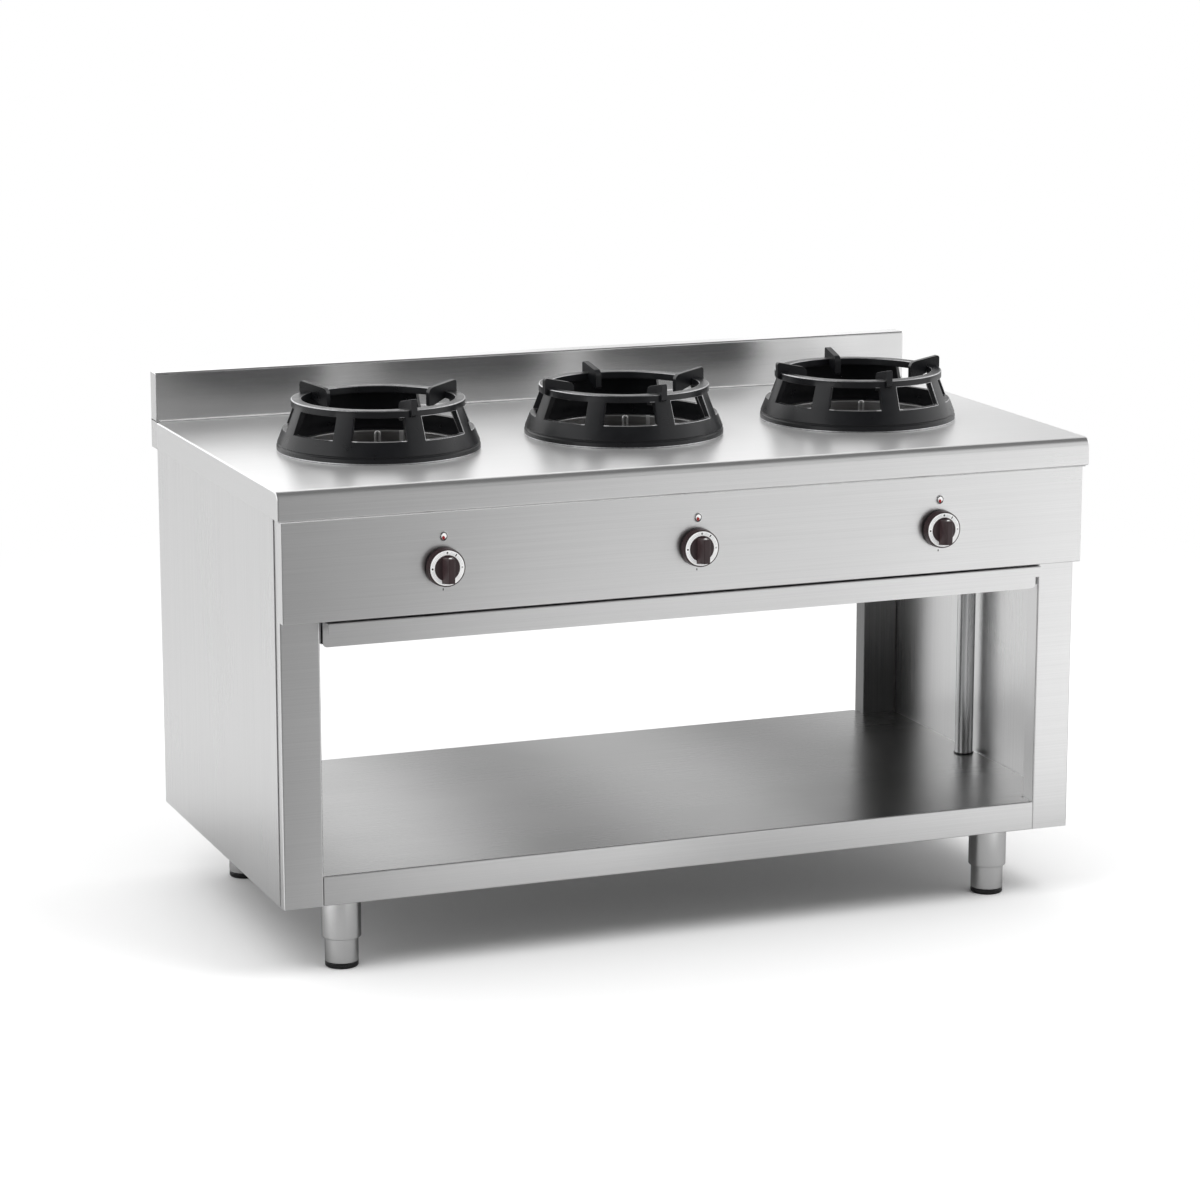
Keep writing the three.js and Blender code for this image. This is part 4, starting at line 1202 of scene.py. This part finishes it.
def makePan(name):
    shape = panShape
    sheet, wall, rim = shape["sheet"], shape["wall"], shape["rim"]
    floor = wall - shape["floorInset"]
    bm = turned([
        (shape["opening"], -shape["depth"] - sheet, 0.5 * mm), (floor, -shape["depth"] - sheet, 6 * mm),
        (wall, shape["floorInset"] - shape["depth"], 6 * mm), (wall, shape["rimHeight"] - sheet, 1 * mm),
        (rim - 3 * mm - sheet, shape["rimHeight"] - sheet, 2 * mm), (rim - sheet, 0.4 * mm, 0.3 * mm),
        (rim, 0.4 * mm, 0.3 * mm), (rim - 3 * mm, shape["rimHeight"], 3.5 * mm),
        (wall - sheet, shape["rimHeight"], 2.5 * mm),
        (wall - sheet, shape["floorInset"] - shape["depth"] + sheet, 5 * mm),
        (floor - sheet, -shape["depth"], 5 * mm), (shape["opening"], -shape["depth"], 0.5 * mm),
    ], 5, 96, True)
    node = "burner_pan_" + name
    shifted(bm, burnerPlace(name))
    finished(node + "_spinning", bm, panSteel, "pan_" + name, [node])


headShape = {
    "radius": 52 * mm,
    "top": 2 * mm,
    "height": 46 * mm,
    "chamfer": 8 * mm,
    "well": 12 * mm,
    "neck": 18 * mm,
    "neckHeight": 18 * mm,
    "portRings": ((22 * mm, 12), (32 * mm, 18), (41 * mm, 24)),
    "port": 1.7 * mm,
    "portRise": 0.7 * mm,
}


def makeHead(name):
    shape = headShape
    bottom = shape["top"] - shape["height"]
    radius, top = shape["radius"], shape["top"]
    bm = turned([
        (0, bottom - shape["neckHeight"], 0), (shape["neck"], bottom - shape["neckHeight"], 1 * mm),
        (shape["neck"], bottom, 3 * mm), (radius, bottom + shape["chamfer"], 3 * mm),
        (radius, top - shape["chamfer"], 3 * mm), (radius - shape["chamfer"], top - 1 * mm, 2 * mm),
        (shape["well"] + 4 * mm, top - 1 * mm, 1 * mm), (shape["well"] + 1 * mm, top - 4 * mm, 1 * mm),
        (shape["well"], top - 16 * mm, 1 * mm), (0, top - 16 * mm, 0),
    ], 4, 64)
    for ringRadius, count in shape["portRings"]:
        for i in range(count):
            port = bmesh.new()
            bmesh.ops.create_cone(
                port, cap_ends=True, segments=10, radius1=shape["port"] * 1.4, radius2=shape["port"],
                depth=2 * shape["portRise"],
            )
            rim = [f for f in port.faces if f.normal.z > 0.9]
            bmesh.ops.inset_individual(port, faces=rim, thickness=shape["port"] * 0.4, depth=0)
            sunk = [f for f in port.faces if f.normal.z > 0.9]
            bmesh.ops.translate(port, verts=list({v for f in sunk for v in f.verts}), vec=(0, 0, -1.2 * mm))
            angle = 2 * math.pi * i / count
            place = (ringRadius * math.cos(angle), ringRadius * math.sin(angle), top - 1 * mm)
            bm = added(bm, port, Matrix.Translation(place))
    node = "burner_head_" + name
    shifted(bm, burnerPlace(name))
    finished(node + "_casting", bm, burnerIron, "root", [node])


pilotShape = {
    "line": 67 * mm,  # in front of the burner's centre
    "plateWidth": 60 * mm,
    "plateDepth": 12 * mm,
    "plate": 2 * mm,
    "plateDrop": 18 * mm,
    "tabWidth": 30 * mm,
    "tabHeight": 14 * mm,
    "headRadius": 52.3 * mm,
    "hairpinWidth": 8 * mm,
    "hairpinTop": 43 * mm,
    "wire": 1.9 * mm,
    "electrode": (16 * mm, 23 * mm),
    "electrodeTop": 40 * mm,
    "ceramic": 5 * mm,
}


def makePilot(name):
    shape = pilotShape
    y = -shape["line"]
    top = -shape["plateDrop"]
    half = shape["plateWidth"] / 2
    bm = boxMesh((-half, y - shape["plateDepth"] / 2, top - shape["plate"]), (half, -shape["headRadius"], top))
    tab = boxMesh(
        (-shape["tabWidth"] / 2, -shape["headRadius"] - shape["plate"], top - shape["tabHeight"]),
        (shape["tabWidth"] / 2, -shape["headRadius"], top),
    )
    bm = added(bm, tab)
    bevelEdges(bm, sharpEdges(bm), 0.5 * mm, 2)
    left = 2 * mm - half
    turn = shape["hairpinWidth"] / 2
    rise = shape["hairpinTop"] - shape["wire"] - turn - top + 1 * mm
    moves = [("run", rise), ("bend", (1, 0, 0), turn), ("bend", (0, 0, -1), turn), ("run", rise)]
    bm = pipeRun((left, y, top - 1 * mm), (0, 0, 1), shape["wire"], moves, 16, 8, bm)
    low, high = shape["electrode"]
    blade = boxMesh((low, y - 1 * mm, top + 12 * mm), (high, y + 1 * mm, shape["electrodeTop"]))
    bevelEdges(blade, sharpEdges(blade), 0.4 * mm, 2)
    bm = added(bm, blade)
    place = Matrix.Translation(burnerPlace(name))
    node = "pilot_" + name
    bm.transform(place)
    finished(node + "_bracket", bm, brightTube, "root", [node])
    bm = turned([
        (0, 0, 0), (shape["ceramic"], 0, 0.6 * mm), (shape["ceramic"], 8 * mm, 0.6 * mm),
        (3 * mm, 10 * mm, 0.5 * mm), (3 * mm, 15 * mm, 0.8 * mm), (0, 15 * mm, 0),
    ], 3, 32)
    bm.transform(place @ Matrix.Translation(((low + high) / 2, y, top + 0.2 * mm)))
    finished(node + "_ceramic", bm, dialWhite, "root")


makeRings()
for name in burnerNames:
    makePan(name)
    makeHead(name)
    makePilot(name)
print("burners made")


# ---- controls: each piece is built about its own axis, with +Z towards the front

forwards = Matrix.Rotation(math.radians(90), 4, "X")

knobShape = {
    "axis": 705 * mm,  # above the floor
    "gap": 4.5 * mm,  # clear of the panel, with the push travel
    "back": 33.5 * mm,
    "front": 32 * mm,
    "face": 18.5 * mm,
    "recess": 30.3 * mm,
    "recessDepth": 1 * mm,
    "hub": 22 * mm,
    "hubFace": 20.5 * mm,
    "gripTop": 42.5 * mm,
    "gripWidth": 19 * mm,
    "gripTopWidth": 11 * mm,
    "gripUp": 19.3 * mm,
    "gripDown": 26 * mm,
    "gripLean": 0.14,  # of its lower end
}

dialShape = {
    "outer": 30 * mm,
    "inner": 22.3 * mm,
    "thickness": 1 * mm,
    "edge": 0.25 * mm,
    "panelMark": (-1.5 * mm, -39.5 * mm),  # from the knob's axis
}


def onPanel(centreX, centreZ):
    return Matrix.Translation((centreX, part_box("control_panel")[0].y, centreZ)) @ forwards


def makeKnob(name):
    shape = knobShape
    node = "knob_" + name
    place = onPanel(middleOf(node).x, shape["axis"])
    floor = shape["face"] - shape["recessDepth"]
    bm = turned([
        (0, shape["gap"], 0), (shape["back"], shape["gap"], 1 * mm), (shape["front"], shape["face"], 1.2 * mm),
        (shape["recess"], shape["face"], 0.3 * mm), (shape["recess"], floor, 0), (shape["hub"], floor, 0),
        (shape["hub"], shape["hubFace"], 1.2 * mm), (0, shape["hubFace"], 0),
    ], 4, 96)
    base, top = shape["gripWidth"] / 2, shape["gripTopWidth"] / 2
    section = rounded([
        (-base, floor, 0), (base, floor, 0),
        (top, shape["gripTop"], 1.6 * mm), (-top, shape["gripTop"], 1.6 * mm),
    ], 4)
    length = shape["gripUp"] + shape["gripDown"]
    grip = prism(section, length)
    for vert in grip.verts:
        if vert.co.y < 0:
            vert.co.y += (vert.co.z - floor) * shape["gripLean"]
    ends = [f for f in grip.faces if abs(f.normal.y) > 0.9]
    bevelEdges(grip, [e for f in ends for e in f.edges], 1.2 * mm, 3)
    grip.transform(Matrix.Translation((0, (shape["gripUp"] - shape["gripDown"]) / 2, 0)))
    bm = added(bm, grip)
    bm.transform(place)
    finished(node + "_moulding", bm, knobPlastic, "control_" + name, [node])


def flatMark(points, low, high, bm=None):
    # a thin printed shape, drawn in (x, y) about the dial's axis
    return added(bm, tidied(slab([(x, y, low) for x, y in points], (0, 0, high - low))))


def turnedPoints(points, degrees, radius):
    # a shape set at a clock angle on the dial, clockwise from the top
    spin = Matrix.Rotation(math.radians(-degrees), 2)
    return [spin @ Vector((x, y + radius)) for x, y in points]


def circlePoints(radius):
    angles = [2 * math.pi * i / 16 for i in range(16)]
    return [(radius * math.cos(a), radius * math.sin(a)) for a in angles]


def rectangle(x, y):
    return [(-x, -y), (x, -y), (x, y), (-x, y)]


def arcPoints(radius, start, end, half):
    # a thin band along a dial's circle, between two clock angles
    angles = [math.radians(start + (end - start) * i / 14) for i in range(15)]
    outer = [((radius + half) * math.sin(a), (radius + half) * math.cos(a)) for a in angles]
    inner = [((radius - half) * math.sin(a), (radius - half) * math.cos(a)) for a in reversed(angles)]
    return outer + inner


def makeDial(name):
    shape = dialShape
    node = "dial_ring_" + name
    body = "control_" + name
    place = onPanel(middleOf("knob_" + name).x, knobShape["axis"])
    low = knobShape["face"] - knobShape["recessDepth"] + 0.25 * mm
    high = low + shape["thickness"]
    bm = turned([
        (shape["inner"], low, 0), (shape["outer"], low, 0),
        (shape["outer"], high, shape["edge"]), (shape["inner"], high, shape["edge"]),
    ], 3, 96, True)
    half = knobShape["gripWidth"] / 2 + 0.3 * mm
    room = boxMesh((-half, -knobShape["gripDown"] - 0.3 * mm, 0), (half, 0, 60 * mm))
    bm = cutAway(bm, room)
    bm.transform(place)
    finished(node + "_plate", bm, dialWhite, body, [node])

    middle = (shape["outer"] + shape["inner"]) / 2
    printed = (high - 0.05 * mm, high + 0.08 * mm)
    diamond = [(0, 2.3 * mm), (1.7 * mm, 0), (0, -2.3 * mm), (-1.7 * mm, 0)]
    marks = None
    for points, degrees in ((diamond, 0), (circlePoints(1.7 * mm), 270), (rectangle(0.9 * mm, 2.3 * mm), 36)):
        marks = flatMark(turnedPoints(points, degrees, middle), *printed, marks)
    faint = flatMark(turnedPoints(rectangle(1.5 * mm, 1.5 * mm), 90, middle), *printed)
    arcs = None
    for radius in (middle - 1 * mm, middle + 1 * mm):
        for start, end in ((188, 262), (278, 350), (12, 30), (42, 80)):
            arcs = flatMark(arcPoints(radius, start, end, 0.25 * mm), high - 0.05 * mm, high + 0.06 * mm, arcs)
    prints = (("_marks", marks, printBlack), ("_low_mark", faint, printGrey), ("_scale", arcs, printPale))
    for label, part, ink in prints:
        part.transform(place)
        finished(node + label, part, ink, body)

    pointer = bmesh.new()
    bmesh.ops.create_uvsphere(pointer, u_segments=24, v_segments=12, radius=1 * mm)
    bmesh.ops.scale(pointer, verts=pointer.verts, vec=(3.1, 2.3, 1.4))
    spot = Matrix.Translation((0, knobShape["gripUp"] - 0.4 * mm, knobShape["hubFace"] + 14 * mm))
    pointer.transform(place @ spot @ Matrix.Rotation(math.radians(-70), 4, "X"))
    finished("knob_" + name + "_pointer", pointer, dialWhite, body)

    markX, markY = shape["panelMark"]
    mark = flatMark([(x + markX, y + markY) for x, y in rectangle(0.9 * mm, 1.7 * mm)], 0, 0.15 * mm)
    mark.transform(place)
    finished("knob_" + name + "_panel_mark", mark, printBlack, "root")


lampShape = {
    "bezel": 8.2 * mm,
    "bezelRise": 1.4 * mm,
    "groove": 7.3 * mm,
    "lens": 5.9 * mm,
    "rise": 4.5 * mm,
    "narrow": 0.86,  # its width to its height
    "lean": 14,  # degrees
    "dot": 3.1 * mm,
}


def makeIndicator(name):
    shape = lampShape
    node = "indicator_" + name
    centre = middleOf(node)
    place = onPanel(centre.x, centre.z)
    egg = Matrix.Rotation(math.radians(-shape["lean"]), 4, "Z") @ Matrix.Diagonal((shape["narrow"], 1, 1, 1))
    stem = [(0, -12 * mm, 0), (4.2 * mm, -12 * mm, 0.4 * mm), (4.2 * mm, 0.4 * mm, 0)]
    bm = turned(stem + [
        (shape["bezel"], 0.4 * mm, 0.3 * mm), (shape["bezel"], shape["bezelRise"], 0.5 * mm),
        (shape["groove"], shape["bezelRise"], 0.2 * mm), (shape["groove"], 0.9 * mm, 0), (0, 0.9 * mm, 0),
    ], 3, 48)
    bm.transform(place @ egg)
    finished(node + "_bezel", bm, tubeSteel, "root", [node])
    gasket = turned([
        (shape["lens"] - 0.6 * mm, 0.8 * mm, 0), (shape["groove"] - 0.1 * mm, 0.8 * mm, 0),
        (shape["groove"] - 0.1 * mm, 1.7 * mm, 0.3 * mm), (shape["lens"] - 0.6 * mm, 1.7 * mm, 0.3 * mm),
    ], 3, 48, True)
    gasket.transform(place @ egg)
    finished(node + "_gasket", gasket, printBlack, "root")
    dome = bmesh.new()
    bmesh.ops.create_uvsphere(dome, u_segments=40, v_segments=20, radius=shape["lens"])
    bmesh.ops.bisect_plane(
        dome, geom=dome.faces[:] + dome.edges[:] + dome.verts[:],
        plane_co=(0, 0, 0), plane_no=(0, 0, -1), clear_outer=True,
    )
    bmesh.ops.holes_fill(dome, edges=[e for e in dome.edges if e.is_boundary], sides=0)
    bmesh.ops.scale(dome, verts=dome.verts, vec=(1, 1, (shape["rise"] - 1.3 * mm) / shape["lens"]))
    for vert in dome.verts:
        # pointed at its foot
        vert.co.x *= 1 + min(0, vert.co.y) / (shape["lens"] * 2.2)
    dome.transform(place @ egg @ Matrix.Translation((0, 0, 1.2 * mm)))
    finished(node + "_lens", tidied(dome), lensWhite, "root")
    dot = bmesh.new()
    bmesh.ops.create_uvsphere(dot, u_segments=24, v_segments=12, radius=shape["dot"])
    bmesh.ops.scale(dot, verts=dot.verts, vec=(0.9, 1.1, 0.35))
    dot.transform(place @ Matrix.Translation((-1.2 * mm, -1.7 * mm, shape["rise"] - 0.75 * mm)))
    finished(node + "_red", dot, lampRed, "root")


for name in burnerNames:
    makeKnob(name)
    makeDial(name)
    makeIndicator(name)
print("controls made")


# ---- floor, lamps and world

studio = {
    "floorRadius": 14.0,
    "whiteFrom": 1.7,  # beyond this the floor fades into the background
    "whiteTo": 3.6,
    # (position, grey) of the stands that reflections show, from left to right
    "frontGreys": [
        (0.0, 0.19), (0.2, 0.21), (0.25, 0.33), (0.31, 0.68), (0.37, 0.68), (0.42, 0.9), (0.47, 0.36),
        (0.53, 0.66), (0.62, 0.92), (1.0, 0.92),
    ],
    "wallGreys": [
        (0.0, 1.0), (0.15, 1.0), (0.32, 0.76), (0.45, 0.5), (0.52, 0.7), (0.58, 0.84), (0.7, 0.9), (0.76, 0.55),
        (0.82, 0.15), (0.92, 0.35), (1.0, 0.5),
    ],
    "lamps": {  # place, size and power
        "soft key": ((1.6, -2.4, 4.2), 2.6, 62.0),
        "soft fill": ((-2.6, -1.2, 3.4), 2.4, 31.0),
    },
}


def makeFloor():
    bm = bmesh.new()
    bmesh.ops.create_circle(bm, cap_ends=True, segments=96, radius=studio["floorRadius"])
    mesh = meshOf(bm, "floor")
    material = bpy.data.materials.new("pale floor")
    material.use_nodes = True
    tree = material.node_tree
    tree.nodes.clear()
    place = tree.nodes.new("ShaderNodeTexCoord").outputs["Object"]
    path = tree.nodes.new("ShaderNodeLightPath").outputs
    parts = addNode(tree, "ShaderNodeSeparateXYZ", None, {0: place}).outputs
    away = addNode(tree, "ShaderNodeVectorMath", {"operation": "LENGTH"}, {0: place}).outputs["Value"]
    # the studio is darker in front and to the left, which the polished fronts show
    slanted = mathNode(tree, "MULTIPLY_ADD", parts["Y"], 0.49, parts["X"])
    front = greyRamp(tree, ranged(tree, slanted, -2.0, 2.0), studio["frontGreys"])
    # for reflections the floor ahead is also darker towards the range
    front = mixColor(tree, ranged(tree, parts["Y"], -3.2, -1.0, 0, 0.17), front, grey(0))
    # painted shadow: for reflections only, the floor under and round the range is darker, standing in for the
    # range's shadow there; it is lighter far to the left and behind
    nearRangeShadow = mixColor(tree, fading(tree, parts["X"], -0.85, -1.3), grey(0.34), grey(0.72))
    nearRangeShadow = mixColor(tree, fading(tree, parts["Y"], 0.5, 0.9), nearRangeShadow, grey(0.64))
    reflected = mixColor(tree, fading(tree, parts["Y"], -0.6, -0.85), nearRangeShadow, front)
    color = mixColor(tree, path["Is Glossy Ray"], grey(0.98), reflected)
    diffuse = addNode(tree, "ShaderNodeBsdfDiffuse", None, {"Color": color})
    white = addNode(tree, "ShaderNodeEmission", None, {"Color": (1, 1, 1, 1), "Strength": 1.0})
    far = fading(tree, away, studio["whiteFrom"], studio["whiteTo"])
    mixed = addNode(tree, "ShaderNodeMixShader", None, {
        0: mathNode(tree, "MULTIPLY", far, path["Is Camera Ray"]), 1: diffuse.outputs[0], 2: white.outputs[0],
    })
    output = tree.nodes.new("ShaderNodeOutputMaterial")
    tree.links.new(mixed.outputs[0], output.inputs["Surface"])
    mesh.materials.append(material)
    floor = bpy.data.objects.new("floor", mesh)
    scene.collection.objects.link(floor)


def makeWorld():
    world = bpy.data.worlds.new("studio")
    scene.world = world
    world.use_nodes = True
    tree = world.node_tree
    tree.nodes.clear()
    direction = tree.nodes.new("ShaderNodeTexCoord").outputs["Generated"]
    parts = addNode(tree, "ShaderNodeSeparateXYZ", None, {0: direction}).outputs
    path = tree.nodes.new("ShaderNodeLightPath").outputs
    # bright stands behind the range, a dark room in front of it and a soft box on each side
    wall = greyRamp(tree, ranged(tree, parts["X"], 0.25, 0.5), studio["wallGreys"])
    wall = mathNode(tree, "MULTIPLY", wall, 1.4)
    room = mixColor(tree, fading(tree, parts["X"], 0.26, 0.46), grey(0.1), grey(0.85))
    around = mixColor(tree, fading(tree, parts["Y"], -0.35, 0.5), room, wall)
    aside = fading(tree, mathNode(tree, "ABSOLUTE", parts["X"]), 0.72, 0.85)
    around = mixColor(tree, aside, around, grey(1.4))
    ceiling = mixColor(tree, path["Is Glossy Ray"], grey(1.12), grey(0.16))
    around = mixColor(tree, fading(tree, parts["Z"], 0.58, 0.8), around, ceiling)
    plain = mixColor(tree, path["Is Camera Ray"], around, grey(1))
    background = addNode(tree, "ShaderNodeBackground", None, {"Color": plain, "Strength": 1.0})
    output = tree.nodes.new("ShaderNodeOutputWorld")
    tree.links.new(background.outputs[0], output.inputs["Surface"])


def addLamp(name, place, size, power):
    data = bpy.data.lights.new(name, "AREA")
    data.shape = "DISK"
    data.size = size
    data.energy = power
    lamp = bpy.data.objects.new(name, data)
    lamp.location = place
    lamp.rotation_euler = (Vector((0, 0, 0.6)) - Vector(place)).to_track_quat("-Z", "Y").to_euler()
    lamp.visible_glossy = False
    scene.collection.objects.link(lamp)


makeFloor()
makeWorld()
for name, (place, size, power) in studio["lamps"].items():
    addLamp(name, place, size, power)
scene.view_settings.view_transform = "Standard"
print("studio made")
